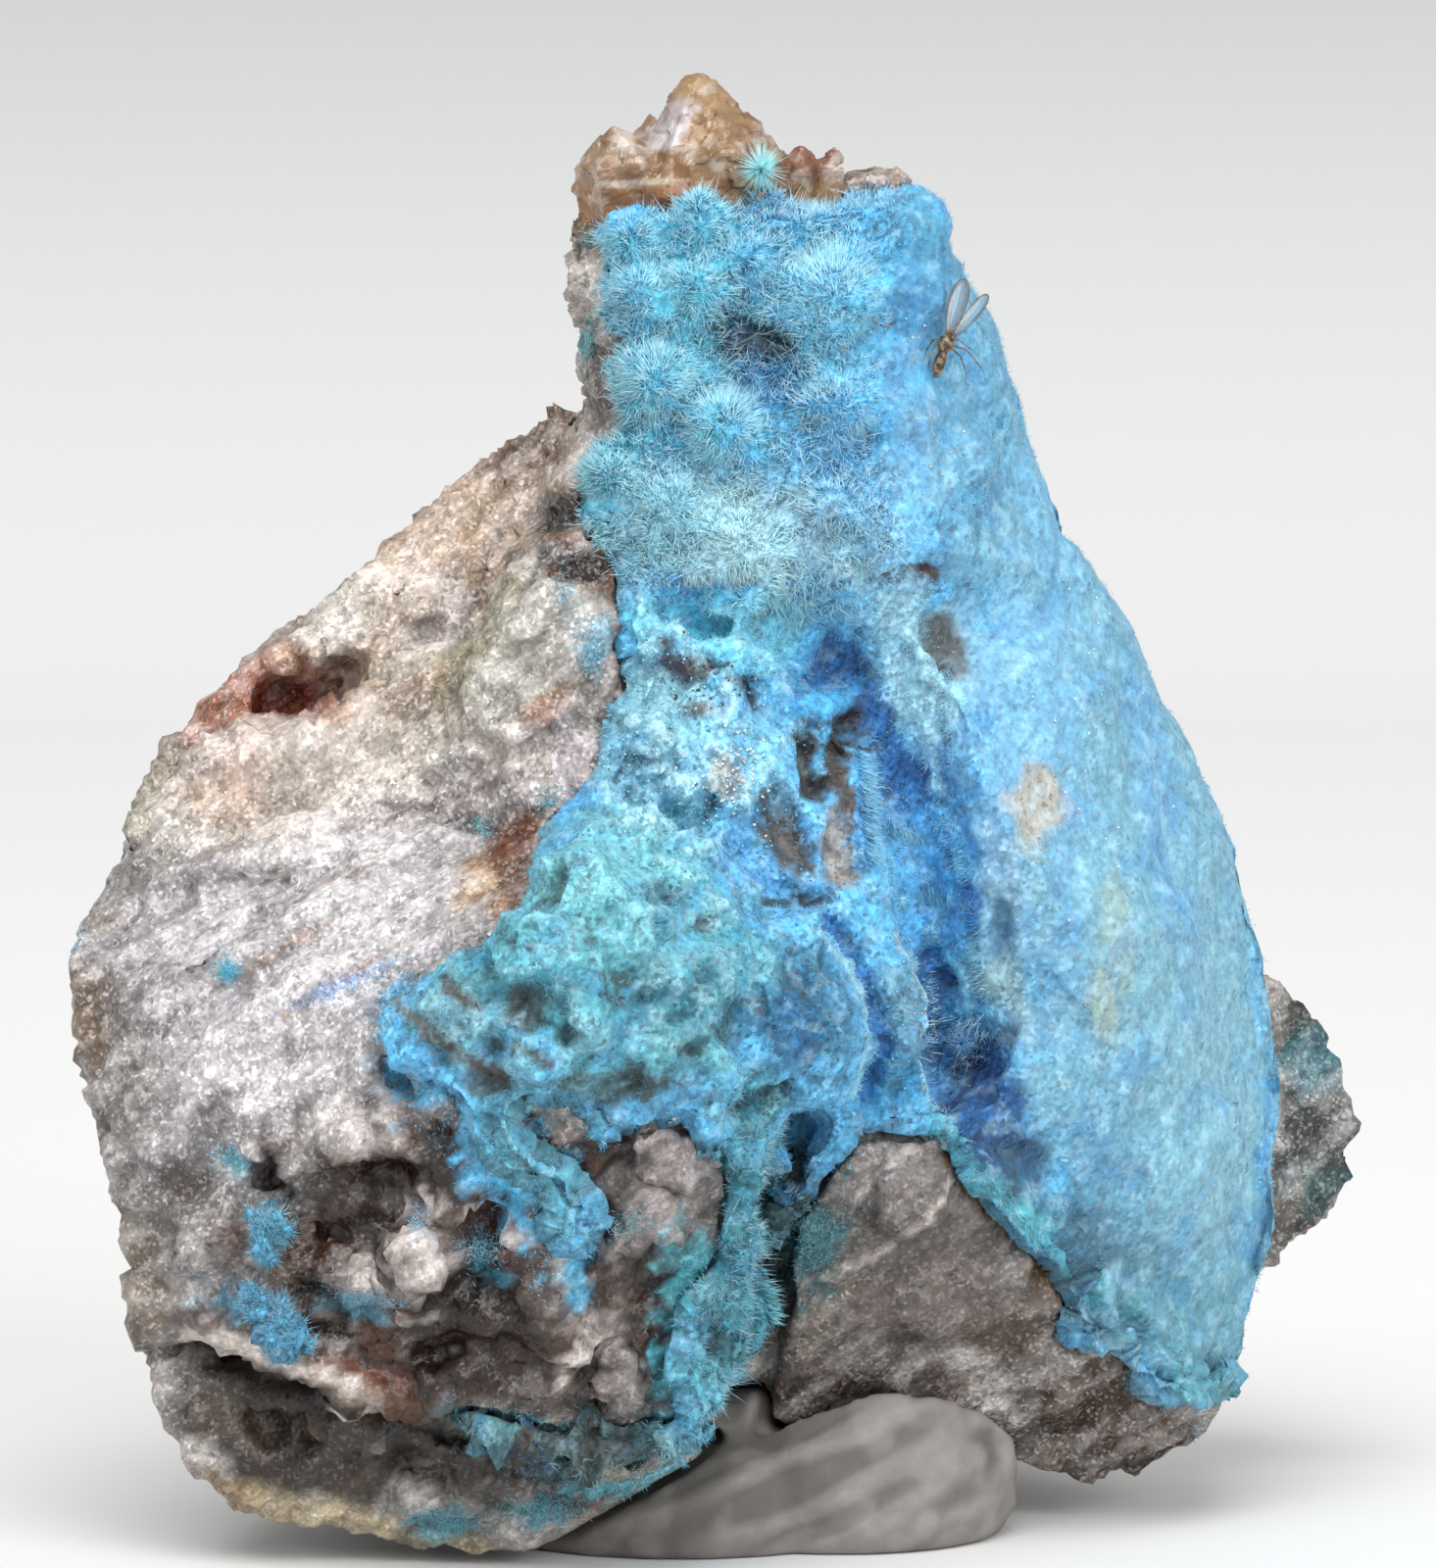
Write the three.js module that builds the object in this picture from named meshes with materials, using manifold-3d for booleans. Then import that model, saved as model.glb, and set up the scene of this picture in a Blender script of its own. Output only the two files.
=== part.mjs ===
// A cyanotrichite specimen: a broken chunk of quartz rock that stands on a pressed lump of putty.
// A velvety crust of blue and turquoise needle crystals covers its front and right side, stained
// quartz crystals crown its top, and a dried gnat lies on the blue near the top right.
// Millimetres, +Z up. The viewer looks along +Y, so the blue side faces -Y. The origin is on the
// surface that the specimen rests on, under the middle of its box.
import * as THREE from 'three';
import { ConvexGeometry } from 'three/addons/geometries/ConvexGeometry.js';
import { mergeVertices } from 'three/addons/utils/BufferGeometryUtils.js';
import Module from 'manifold-3d';

const wasm = await Module();
wasm.setup();

// Driving dimensions
const VELVET = 0.9; // how far the velvet stands above the rock, needle tips included
const GAP = 0.25; // clearance between the rock and whatever sits on it
const IN_FRONT = -20; // where sight lines and crust outlines start, in front of everything
const BURIED = 0.45; // how much of a needle ball's radius is sunk in the velvet
const CRUMB_COUNT = 26; // angular grains that stand out of the broken rock
const CRUMB_SIZE = [0.6, 1.2];
const SCAR_COUNT = 20; // shallow scars where flakes broke away
const SCAR_SIZE = [1.2, 2.8];
const GRAIN_CORNERS = 9;
const ROOT = 0.25; // how far a lump is rooted in the rock
const MOUTH = 0.3; // how far a pit's cutter stands out of the rock
const TAPER = 0.35; // how much smaller than its foot the top of a lump is
const PUTTY_TOP = 5.4;
const GNAT_STANDS = 0.3; // how far the gnat's middle stands off the velvet

// Seeded random numbers, so that every build is the same
let seed = 58;
function random(low = 0, high = 1) {
  seed = (seed * 1664525 + 1013904223) % 4294967296;
  return low + ((high - low) * seed) / 4294967296;
}

// Solids from three.js geometry, and back
function solidOf(geometry) {
  const bare = geometry.clone();
  for (const name of ['normal', 'uv']) bare.deleteAttribute(name);
  const merged = mergeVertices(bare, 1e-4);
  return new wasm.Manifold(new wasm.Mesh({
    numProp: 3,
    vertProperties: merged.attributes.position.array,
    triVerts: new Uint32Array(merged.index.array),
  }));
}

function geometryOf(solid) {
  const { numProp, vertProperties, triVerts } = solid.getMesh();
  const position = new Float32Array((vertProperties.length / numProp) * 3);
  for (let i = 0; i < position.length / 3; i++) {
    position.set(vertProperties.subarray(i * numProp, i * numProp + 3), i * 3);
  }
  const geometry = new THREE.BufferGeometry();
  geometry.setAttribute('position', new THREE.BufferAttribute(position, 3));
  geometry.setIndex(new THREE.BufferAttribute(new Uint32Array(triVerts), 1));
  geometry.computeVertexNormals();
  return geometry;
}

const join = (solids) => solids.reduce((all, one) => all.add(one));
const largest = (solid) => solid.decompose().sort((a, b) => b.volume() - a.volume())[0];

// The corners of a convex block, each moved out until its faces stand grow further out, but no
// further than reach times grow
function grownCorners(points, grow, reach) {
  const { position, normal } = new ConvexGeometry(points).attributes;
  const corners = new Map();
  for (let i = 0; i < position.count; i++) {
    const corner = new THREE.Vector3().fromBufferAttribute(position, i);
    const key = corner.toArray().join();
    if (!corners.has(key)) corners.set(key, { corner, facings: [] });
    corners.get(key).facings.push(new THREE.Vector3().fromBufferAttribute(normal, i));
  }
  return [...corners.values()].map(({ corner, facings }) => {
    const outward = facings.reduce((sum, one) => sum.add(one), new THREE.Vector3()).normalize();
    const least = Math.min(...facings.map((one) => one.dot(outward)));
    return corner.addScaledVector(outward, grow / Math.max(least, 1 / reach));
  });
}

// A convex block of rock with its corners at the points
function block(points, grow = 0, reach = 3) {
  const corners = points.map(([x, y, z]) => new THREE.Vector3(x, y, z));
  return solidOf(new ConvexGeometry(grow ? grownCorners(corners, grow, reach) : corners));
}

// The rock's main blocks, each by the corners that its break left
const BLOCKS = {
  tower: [
    [-2.2, -4.9, 34.3], [4.9, -4.4, 34.6], [5.8, -3.6, 32.4], [6.8, -3, 30], [7.7, -2.4, 27],
    [8.6, -1.6, 25], [-2.4, -5.2, 30.5], [-2.4, -5.5, 27.6], [4.5, -5.3, 30], [5.3, -5.3, 26.6],
    [-1.3, -5.7, 26], [3.5, -5.7, 26.2], [-1.2, -3.5, 24.2], [5.5, -3.5, 24.2], [-3.3, -1.5, 34.4],
    [-3.2, -1.2, 32.3], [-3, -2, 30.5], [5.2, 0.5, 34.4], [6.8, 2, 31], [8.3, 3.5, 26.5],
    [-3, 2, 30], [0, 3, 33.5], [-3, 3, 24], [5, 6, 24],
  ],
  towerKnob: [
    [-4, -2.6, 34], [-3.8, -1.5, 34.9], [-3.9, -2.8, 32.8], [-3.6, -1.6, 31.6], [-2.3, -3.4, 33.6],
    [-2.3, -3.2, 32.2], [-2.4, -2.4, 35.2], [-3, 0.3, 34], [-3, 0, 32],
  ],
  topCrumb: [
    [3.4, -2.4, 35.7], [4.6, -2.6, 35.7], [5.2, -1.8, 35.4], [3.6, -0.8, 35.6], [5, -0.6, 35.4],
    [3, -2.2, 34], [5.4, -2.2, 34], [4.4, 0.6, 34],
  ],
  core: [
    [-4, -4, 24.5], [6.5, -3.2, 26], [9, -1, 24.5], [-6, 3, 26], [4, 7.5, 25], [9, 5, 24],
    [4.2, -3.2, 22], [-6, -4.5, 12], [3.5, -3.2, 12], [8.6, -1.6, 12], [10, -1, 5], [-5, -4, 4],
    [-8, 8, 12], [9, 10, 12], [-4, 8, 4], [8, 8, 4], [0, 9, 22],
  ],
  lowerMass: [
    [-2, -5.4, 23.4], [0.6, -5.3, 23.4], [2.2, -4.7, 22.6], [3.3, -4.9, 20.4], [4, -5, 17.8],
    [-2.4, -6.3, 21], [1.4, -5.9, 20.2], [2.6, -5.9, 18], [-1.5, -6.6, 18.5], [3.2, -6, 15],
    [0, -6.4, 12], [4.4, -5, 14.5], [-2, -2, 23.4], [2.2, -2, 22.6], [4, -2, 18], [4.4, -2, 13],
    [-2, -2, 12],
  ],
  nearRidge: [
    [-3.1, -4, 29.8], [-3.4, -5.2, 27.8], [-4.6, -4.6, 26.3], [-5.9, -4.5, 23.3], [-7.1, -5, 20.5],
    [-2.1, -5.6, 24.8], [-2, -6.4, 21.3], [-4.1, -7.8, 19.6], [-4, 0, 29], [-6.5, 0, 24],
    [-8, 0, 19], [-2, 0, 18], [0, -5, 19],
  ],
  farShoulder: [
    [-3.2, -0.5, 29.9], [-4.8, 0.4, 29.4], [-8.4, 1.8, 25.6], [-10.5, 1.8, 23.7],
    [-11.6, 1.8, 22.8], [-13.5, 1, 21.7], [-14.9, -0.2, 19.6], [-12, -1.8, 19.5],
    [-6, -1.6, 24.5], [-4, 6, 27], [-10, 7.5, 21.5], [-13.5, 5, 18], [-3, 8, 20], [-8, -3, 18],
  ],
  shoulderKnob: [
    [-6.4, 1, 28.2], [-7.4, 1.4, 26.9], [-7.6, 1.6, 26.1], [-5, 0, 29.2], [-5.4, -1, 27.8],
    [-6.6, -0.6, 26], [-4, 3, 27.5], [-6, 4, 26], [-4, 0, 25],
  ],
  pocketLip: [
    [-14.7, -2.2, 20.1], [-12.8, -2.9, 21.2], [-11, -3.1, 21.4], [-9.8, -3.1, 22],
    [-8.2, -3, 22.9], [-6.6, -2.9, 24.1], [-5.4, -4.6, 22.8], [-7.4, -5, 19.6], [-12, -4.2, 17.8],
    [-15.6, -3.3, 17.8], [-14, -1.4, 18], [-8, -1.6, 18], [-6, -1, 22],
  ],
  lowerLeft: [
    [-16.4, -3.5, 16.3], [-16.6, -5.5, 15.2], [-16.1, -5.8, 13.3], [-15.4, -6, 10.5],
    [-14.6, -6, 7.9], [-14.5, -5.8, 6.4], [-15.3, -2.5, 18], [-15, 0, 19], [-9, -2.6, 20],
    [-6, -5, 20.6], [-4, -7.5, 19.2], [-6.5, -9.8, 16.4], [-9, -9.3, 14.8], [-13, -7.8, 13.6],
    [-13.2, -6.8, 6.7], [-11.2, -7.6, 6.2], [-7.8, -8.4, 4.8], [-15, 3, 16], [-13, 5, 8],
    [-5, -6, 5],
  ],
  nose: [
    [-6.5, -9.8, 16.8], [-3.5, -11, 17.2], [-2, -11.2, 15.5], [0, -10.6, 13.2],
    [-5, -11.2, 12.8], [-8.5, -9.6, 13.4], [-8, -9.2, 9.6], [-3.4, -10, 9], [0.6, -9, 9.5],
    [1, -8, 12], [-2.5, -9, 19.3], [0, -8, 18.3], [-7.4, -8.6, 5], [-4, -8.6, 3.9],
    [-0.6, -7.8, 4.2], [0.4, -8, 6.4], [-1, -5, 3.4], [-4, -5, 19], [1, -5, 16], [0.6, -4, 6],
  ],
  roundLump: [
    [0.8, -7.6, 16.2], [2.6, -7.4, 15.8], [3.2, -7, 14.2], [2.4, -6.9, 12.9], [0.6, -8.2, 12.8],
    [1, -5, 17], [3.6, -5, 15.5], [3.8, -4.6, 12.5], [1.4, -4, 11.6],
  ],
  noseBridge: [
    [-1, -9.9, 17], [-0.4, -10.2, 14.6], [0.4, -9.5, 13], [1.8, -8.2, 14.4], [1.9, -7.7, 16.3],
    [1.4, -8.1, 13.1], [0, -6, 18], [2.5, -5, 16], [1.2, -5, 12.6], [-1, -5, 14],
  ],
  rim: [
    [3.6, -5.9, 15.4], [4.8, -5.4, 15.2], [5.3, -5.2, 13.2], [5.4, -5, 11.9], [3.4, -5.6, 11.9],
    [3, -5, 16.4], [5, -3, 14.6], [5.6, -3, 11.5], [2.6, -3, 12],
  ],
  flank: [
    [8.7, -1.2, 25.8], [10.4, -0.2, 22.9], [11.8, 0.8, 20], [12.9, 1.8, 17.4], [13.8, 2.8, 14.8],
    [14.2, 3.6, 11.7], [14.1, 3.4, 7.7], [13.4, 3, 4.5], [5.2, -3.9, 24.6], [6.5, -4.5, 22],
    [7.4, -4.5, 19.4], [8.4, -4.2, 17], [8.9, -3.6, 14.5], [9, -2.9, 11.5], [9.3, -2.2, 8],
    [10.2, -0.8, 5.6], [11.2, -2.3, 13], [4.6, -2.6, 23.4], [6, -2.4, 18], [6.7, -2.1, 12],
    [8, -1.6, 7.6], [10, 6, 24], [13, 8, 18], [14, 9, 11], [12.5, 9, 4.5], [6, 8, 22],
  ],
  brownFace: [
    [3.7, -5.6, 11.2], [6, -5.3, 11], [6.9, -4.6, 9.3], [8.3, -3, 7], [9.8, -1.2, 4.9],
    [12.2, 0.4, 3.6], [13.5, 2, 3.2], [13.4, 3, 2.4], [11.5, 3, 0.8], [10.1, 2.5, 1.4],
    [7.9, 1.5, 2.4], [3.5, -1.5, 3.6], [1.5, -3, 3.4], [2, -5, 6.5], [2.2, -5.6, 9],
    [5, 6, 3], [12, 9, 5], [12, 9, 10], [4, 4, 12], [8, -1, 12],
  ],
  shelf: [
    [-14.6, -5.6, 5.6], [-14.1, -5.8, 3.9], [-13.6, -5.7, 2.9], [-12.3, -5.6, 2], [-11.8, -4.5, 1.5],
    [-10, -4.9, 1], [-7.5, -5.4, 0.7], [-5.9, -5.2, 0.3], [-4, -5, 0.6], [-12.4, -6.1, 5],
    [-7, -6.6, 3.4], [-3, -6.6, 2.1], [0, -5.4, 3], [-12, 4, 3], [-6, 6, 1.5], [0, 4, 3],
    [-12, 3, 8], [-3, -6, 4],
  ],
  back: [
    [-13, 4, 17], [-13, 6, 9], [-9, 6, 3], [-6, 11, 17], [3, 12.5, 20], [9, 11, 15],
    [9, 10.5, 5], [-5, 11, 5], [2, 9, 26], [6, 7, 26], [-9, 7, 21],
  ],
  backLedge: [
    [-10, 6, 18], [-9, 11, 14], [-2, 13, 13], [6, 12.6, 10], [8, 11.5, 4], [-3, 11.8, 4],
    [-10, 8, 5], [-11, 7, 12], [4, 9, 14], [0, 8, 4],
  ],
  spur: [
    [14, 6.2, 14.2], [15.9, 7.5, 13.6], [16.9, 8, 12.5], [17.1, 8.2, 11.2], [17.7, 8.5, 8.8],
    [16.8, 8.5, 7.3], [15.2, 7, 6], [13, 6, 5.5], [13, 11, 14], [15, 11.5, 12], [15.5, 11.5, 9],
    [13, 11.5, 6.5], [11, 8, 14],
  ],
};

const blocks = Object.values(BLOCKS);
const bareRock = join(blocks.map((points) => block(points)));
const grownRock = (grow, reach) => join(blocks.map((points) => block(points, grow, reach)));

// Where a straight line first meets a solid
function surfaceOf(solid) {
  const mesh = new THREE.Mesh(geometryOf(solid), new THREE.MeshBasicMaterial({ side: THREE.DoubleSide }));
  const caster = new THREE.Raycaster();
  return (from, direction) => {
    caster.set(from, direction);
    return caster.intersectObject(mesh)[0];
  };
}

const hitRock = surfaceOf(bareRock);

// A sight line from each side: where it starts for a place across and a height, and which way it runs
const SIGHTS = {
  front: (x, z) => [new THREE.Vector3(x, IN_FRONT, z), new THREE.Vector3(0, 1, 0)],
  back: (x, z) => [new THREE.Vector3(x, -IN_FRONT, z), new THREE.Vector3(0, -1, 0)],
  left: (y, z) => [new THREE.Vector3(IN_FRONT, y, z), new THREE.Vector3(1, 0, 0)],
};

// Lumps and pits of the rock, by their outlines as seen from one side
const LUMPS = [
  { rise: 0.7, outline: [[-15.6, 17], [-12, 18.6], [-9.4, 19.2], [-10, 18.2], [-13, 17.2]] },
  { rise: 0.6, outline: [[-14.6, 15], [-11, 16.6], [-7.4, 18.6], [-7.6, 17.6], [-11.6, 15.4]] },
  { rise: 0.5, outline: [[-13.2, 13.7], [-10.4, 14.6], [-9, 15.9], [-9.4, 16.6], [-12, 15.2]] },
  { rise: 0.3, outline: [[-15.2, 11.6], [-14.6, 13.6], [-13.8, 13.2], [-14.6, 10.6]] },
  { rise: 0.7, outline: [[-10, 11.6], [-9, 12.2], [-8.2, 11.6], [-8.6, 10.6], [-9.6, 10.6]] },
  { rise: 0.9, outline: [[-8.1, 9.4], [-7, 9.3], [-6.7, 8.3], [-7.4, 7.5], [-8.2, 8.2]] },
  { rise: 0.8, outline: [[-9.7, 8.4], [-8.6, 8.7], [-7.7, 7.7], [-8.4, 7], [-9.5, 7.3]] },
  { rise: 0.8, outline: [[-1.9, 12], [-0.2, 12.3], [0.6, 11.2], [-0.6, 10.6], [-1.6, 10.9]] },
  { rise: 0.7, outline: [[-2.1, 10.6], [-0.8, 10.4], [-0.6, 9.4], [-1.6, 8.8], [-2.4, 9.5]] },
  { rise: 0.6, outline: [[-5.2, 8], [-3.6, 8.3], [-2.8, 7.2], [-3.8, 6.3], [-5.2, 6.8]] },
  { rise: 0.7, outline: [[-2.8, 6.8], [-1.6, 6.6], [-1, 5], [-2.2, 4.5], [-3.2, 5.4]] },
  { rise: 0.6, outline: [[-13.4, 7], [-11.6, 6.9], [-8.6, 5.6], [-6.7, 4.7], [-8.8, 4.9], [-11.6, 5.9]] },
  { rise: 0.5, outline: [[-14, 9.6], [-12.4, 10.2], [-11.6, 8.6], [-13, 7.8]] },
  { rise: 0.5, outline: [[-5.6, 26], [-4.4, 26.2], [-3.4, 24.6], [-4.4, 23.8], [-5.4, 24.4]] },
  { rise: 0.5, outline: [[-6.6, 23], [-4.6, 23.2], [-3.4, 22], [-4.6, 21.2], [-6.6, 21.4]] },
  { rise: 0.5, outline: [[4.4, 10.6], [6, 10.4], [6.2, 9], [4.8, 8.2], [3.8, 9.2]] },
  { rise: 0.5, outline: [[5, 7.6], [7.4, 7], [7.6, 5.8], [5.4, 5.4], [4.2, 6.4]] },
  { side: 'left', rise: 0.8, outline: [[-4.4, 13.4], [-0.6, 14.6], [2, 13.2], [1, 10.8], [-3.6, 10.6]] },
  { side: 'left', rise: 0.7, outline: [[-3.6, 9.6], [0.4, 9], [1.4, 7], [-2.6, 6.6]] },
  { side: 'left', rise: 0.7, outline: [[2.4, 19.6], [5.6, 18.4], [6, 16], [3, 15.6]] },
  { side: 'back', rise: 1.2, outline: [[-8, 20.4], [-3, 22.4], [1, 21.6], [-1, 18.6], [-7, 18]] },
  { side: 'back', rise: 1, outline: [[2, 17.4], [7.4, 18], [9, 15.6], [5, 14.4], [2, 15]] },
  { side: 'back', rise: 1, outline: [[-7.6, 11.4], [-2.4, 11.8], [-1, 9.6], [-4, 7.6], [-7.6, 8.6]] },
  { side: 'back', rise: 0.9, outline: [[1, 8.4], [5.6, 9], [7.4, 6.6], [3, 5.6]] },
  { side: 'back', rise: 0.8, outline: [[2, 26.4], [6, 27], [6.6, 24.6], [3, 23.8]] },
];
const PITS = [
  { depth: 1.1, outline: [[-8.6, 13.9], [-7.5, 13.8], [-7.2, 12.5], [-8.4, 12.4]] },
  { depth: 0.9, outline: [[-8.7, 10.4], [-7.4, 10.4], [-7.2, 9.7], [-8.4, 9.3]] },
  { depth: 1, outline: [[-6.5, 9.8], [-5.2, 9.8], [-5, 8.8], [-6.3, 8.6]] },
  { depth: 0.9, outline: [[-11.9, 11.2], [-10.8, 11.2], [-10.7, 10.1], [-11.8, 10]] },
  { depth: 0.9, outline: [[-7.7, 6.5], [-6.3, 6.4], [-6.3, 5.4], [-7.6, 5.4]] },
  { depth: 0.9, outline: [[-10.4, 9.3], [-9.3, 9.3], [-9.3, 8.5], [-10.3, 8.4]] },
  { depth: 0.8, outline: [[-3.6, 9.6], [-2.5, 9.2], [-2.6, 8.2], [-3.6, 8.3]] },
  { depth: 0.9, outline: [[-4.9, 22.6], [-3.4, 22.9], [-3.2, 22.1], [-4.7, 21.7]] },
  { depth: 0.8, outline: [[-4.9, 20.5], [-3.8, 20.7], [-3.6, 19.8], [-4.8, 19.6]] },
  { depth: 0.8, outline: [[-12.6, 4.6], [-10.4, 4.4], [-9.4, 3], [-11.6, 2.8]] },
  { depth: 0.7, outline: [[-8.8, 3.6], [-6.6, 3.2], [-6, 2], [-8.4, 2]] },
];

// The corners of a lump or pit: its outline on the rock, and a smaller one that far out or in
function corners(outline, step, behind, side = 'front') {
  const share = 1 / outline.length;
  const middle = outline.reduce(([a, b], [across, z]) => [a + across * share, b + z * share], [0, 0]);
  return outline.flatMap(([across, z]) => {
    const foot = hitRock(...SIGHTS[side](across, z));
    const top = hitRock(...SIGHTS[side](
      across + TAPER * (middle[0] - across),
      z + TAPER * (middle[1] - z),
    ));
    return [
      foot.point.addScaledVector(foot.face.normal, behind).toArray(),
      top.point.addScaledVector(top.face.normal, step * random(0.5, 1.2)).toArray(),
    ];
  });
}

const lumps = LUMPS.map(({ outline, rise, side }) => corners(outline, rise, -ROOT, side));
const pits = PITS.map(({ outline, depth }) => corners(outline, -depth, MOUTH));

// The rusty pocket behind its lip, and the notch in the far left edge
const HOLLOWS = {
  rustyPocket: [
    [-13.2, -3.4, 22.6], [-11.2, -3.6, 20.7], [-9.4, -3.6, 21.4], [-8.4, -3.2, 23.2],
    [-9.8, -3, 24.2], [-12.6, -3, 23.4], [-12, 1, 21.2], [-9.4, 0.8, 21.8], [-9.2, 0.6, 23],
    [-11.4, 1.6, 22.2],
  ],
  leftNotch: [
    [-16.2, -3.4, 18.6], [-15.2, -3, 18.4], [-15.1, -3.2, 17.9], [-16.4, -3.6, 17.4], [-16, 1, 18.4],
    [-15, 1, 18], [-17, -2, 18],
  ],
};

// The crust's outlines as seen from the front, x and z, and how far back each stretch wraps
const CRUST_OUTLINES = {
  front: {
    back: -1.4,
    points: [
      [-3, 34.3], [-1.8, 35], [0.3, 35.5], [2.1, 35.7], [3.7, 35.5], [4.2, 35.2], [5.1, 35.6],
      [5.9, 35.4], [6.3, 34.7], [6.4, 33.9], [9, 33], [12, 27], [16.5, 17], [16.5, 6],
      [14.6, 3.3], [13.7, 3], [12.2, 3.3], [11.2, 4.1], [10.4, 5.1], [9.8, 5.8], [8.9, 7.3],
      [8, 8.4], [7.2, 9.3], [6.5, 10.4], [6.1, 11.5], [4.9, 11.5], [3.6, 11.4], [2.7, 10.7],
      [0, 11], [-3, 19], [-4.1, 19.5], [-3.3, 20.1], [-2.6, 20.8], [-2.4, 21.8], [-1.8, 22.8],
      [-2.1, 24.9], [-2.1, 25.6], [-2.4, 26.5], [-3.2, 27], [-3.5, 28.4], [-2.9, 29],
      [-2.2, 29.3], [-1.8, 30.1], [-2.1, 30.9], [-1.8, 31.8], [-2.6, 31.9], [-2.9, 32.6],
      [-2.6, 33.8],
    ],
  },
  rightSide: {
    back: 4.6,
    points: [
      [6.4, 33.9], [9, 33], [12, 27], [16.5, 17], [16.5, 6], [14.6, 3.3], [13.7, 3], [12.2, 3.3],
      [9.4, 8], [8.6, 14], [7.4, 20], [7.4, 26], [6, 31],
    ],
  },
  turquoise: {
    back: -4,
    points: [
      [-4.1, 19.6], [-2, 20.6], [2, 18], [1.6, 13], [1.9, 12.2], [0.6, 12.5], [-0.6, 12.5],
      [-1.7, 12.1], [-2.7, 11.7], [-3.7, 13], [-5.1, 13.4], [-4.7, 11.9], [-3.5, 11.1],
      [-2.7, 10.3], [-3.1, 8.8], [-3.9, 8.8], [-3.7, 10.1], [-5.1, 10.7], [-6, 11.5], [-6.4, 13],
      [-8, 13.6], [-8.4, 14.8], [-7.2, 15.8], [-6.4, 16.5], [-5.7, 16.8], [-4.9, 17.3],
      [-4.6, 18.1],
    ],
  },
  drip: {
    back: -5.2,
    points: [
      [1.6, 12.6], [4, 12], [3.6, 11], [2.7, 10.2], [2.5, 9.4], [1.9, 8.7], [1.3, 7.9], [1.6, 6.6],
      [1.4, 5.4], [0.8, 4], [-0.1, 2.9], [-1.6, 2.4], [-3.1, 2.2], [-4.6, 2.5], [-5.6, 3.1],
      [-6.6, 4.1], [-6.1, 4.5], [-4.1, 3.8], [-2.1, 3.4], [-0.9, 3.8], [-0.3, 4.5], [-0.9, 5.4],
      [-0.7, 7.2], [0.4, 8.2], [0.7, 9.7], [0.9, 11.2], [0.8, 12.6],
    ],
  },
};
const PATCH_OUTLINES = {
  lowPatch: { back: -4, points: [[-12, 7.7], [-10.8, 7.5], [-10, 6.1], [-10.6, 5.6], [-11.4, 6]] },
  smallPatch: { back: -4, points: [[-11.7, 9.6], [-10.9, 9.5], [-10.6, 8.9], [-11.2, 8.4], [-11.8, 9]] },
};

function inside(points, x, z) {
  let within = false;
  points.forEach(([x1, z1], i) => {
    const [x2, z2] = points[(i + 1) % points.length];
    if (z1 > z !== z2 > z && x < x1 + ((z - z1) / (z2 - z1)) * (x2 - x1)) within = !within;
  });
  return within;
}

// Whether a place on the rock is under a crust, or too near one for a grain
const covered = ({ x, y, z }) => Object.values({ ...CRUST_OUTLINES, ...PATCH_OUTLINES }).some(
  ({ points, back }) => y < back && [[0, 0], [1, 0], [-1, 0], [0, 1], [0, -1]].some(
    ([across, up]) => inside(points, x + across * CRUMB_SIZE[1], z + up * CRUMB_SIZE[1]),
  ),
);

// A block that runs straight back from its outline
function outlineBlock({ points, back }) {
  const shape = new THREE.Shape(points.map(([x, z]) => new THREE.Vector2(x, z)));
  const run = new THREE.ExtrudeGeometry(shape, { depth: back - IN_FRONT, bevelEnabled: false });
  run.rotateX(Math.PI / 2);
  run.translate(0, back, 0);
  return solidOf(run);
}

// Angular grains and flake scars, scattered over the rock that no crust covers
function scatter(count, [small, large], sink, flatness) {
  const made = [];
  while (made.length < count) {
    const outward = new THREE.Vector3().setFromSphericalCoords(
      60,
      Math.acos(random(-1, 1)),
      random(0, 2 * Math.PI),
    );
    const target = new THREE.Vector3(random(-9, 9), random(-5, 5), random(6, 26));
    const hit = hitRock(outward, target.sub(outward).normalize());
    if (!hit || covered(hit.point)) continue;
    const size = random(small, large);
    const facing = new THREE.Quaternion().setFromUnitVectors(new THREE.Vector3(0, 0, 1), hit.face.normal);
    const middle = hit.point.clone().addScaledVector(hit.face.normal, sink * size);
    const points = [];
    for (let i = 0; i < GRAIN_CORNERS; i++) {
      const corner = new THREE.Vector3().setFromSphericalCoords(
        size,
        Math.acos(random(-1, 1)),
        random(0, 2 * Math.PI),
      );
      corner.z *= flatness;
      points.push(corner.applyQuaternion(facing).add(middle).toArray());
    }
    made.push(points);
  }
  return made;
}

const crumbs = scatter(CRUMB_COUNT, CRUMB_SIZE, -0.15, 0.7);
const scars = scatter(SCAR_COUNT, SCAR_SIZE, 0.1, 0.32);
const raised = [...lumps, ...crumbs];
const rockRoom = join([grownRock(GAP), ...raised.map((points) => block(points, GAP))]);

const rock = largest(
  join([bareRock, ...raised.map((points) => block(points))])
    .subtract(join([...scars, ...pits, ...Object.values(HOLLOWS)].map((points) => block(points)))),
);

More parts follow.
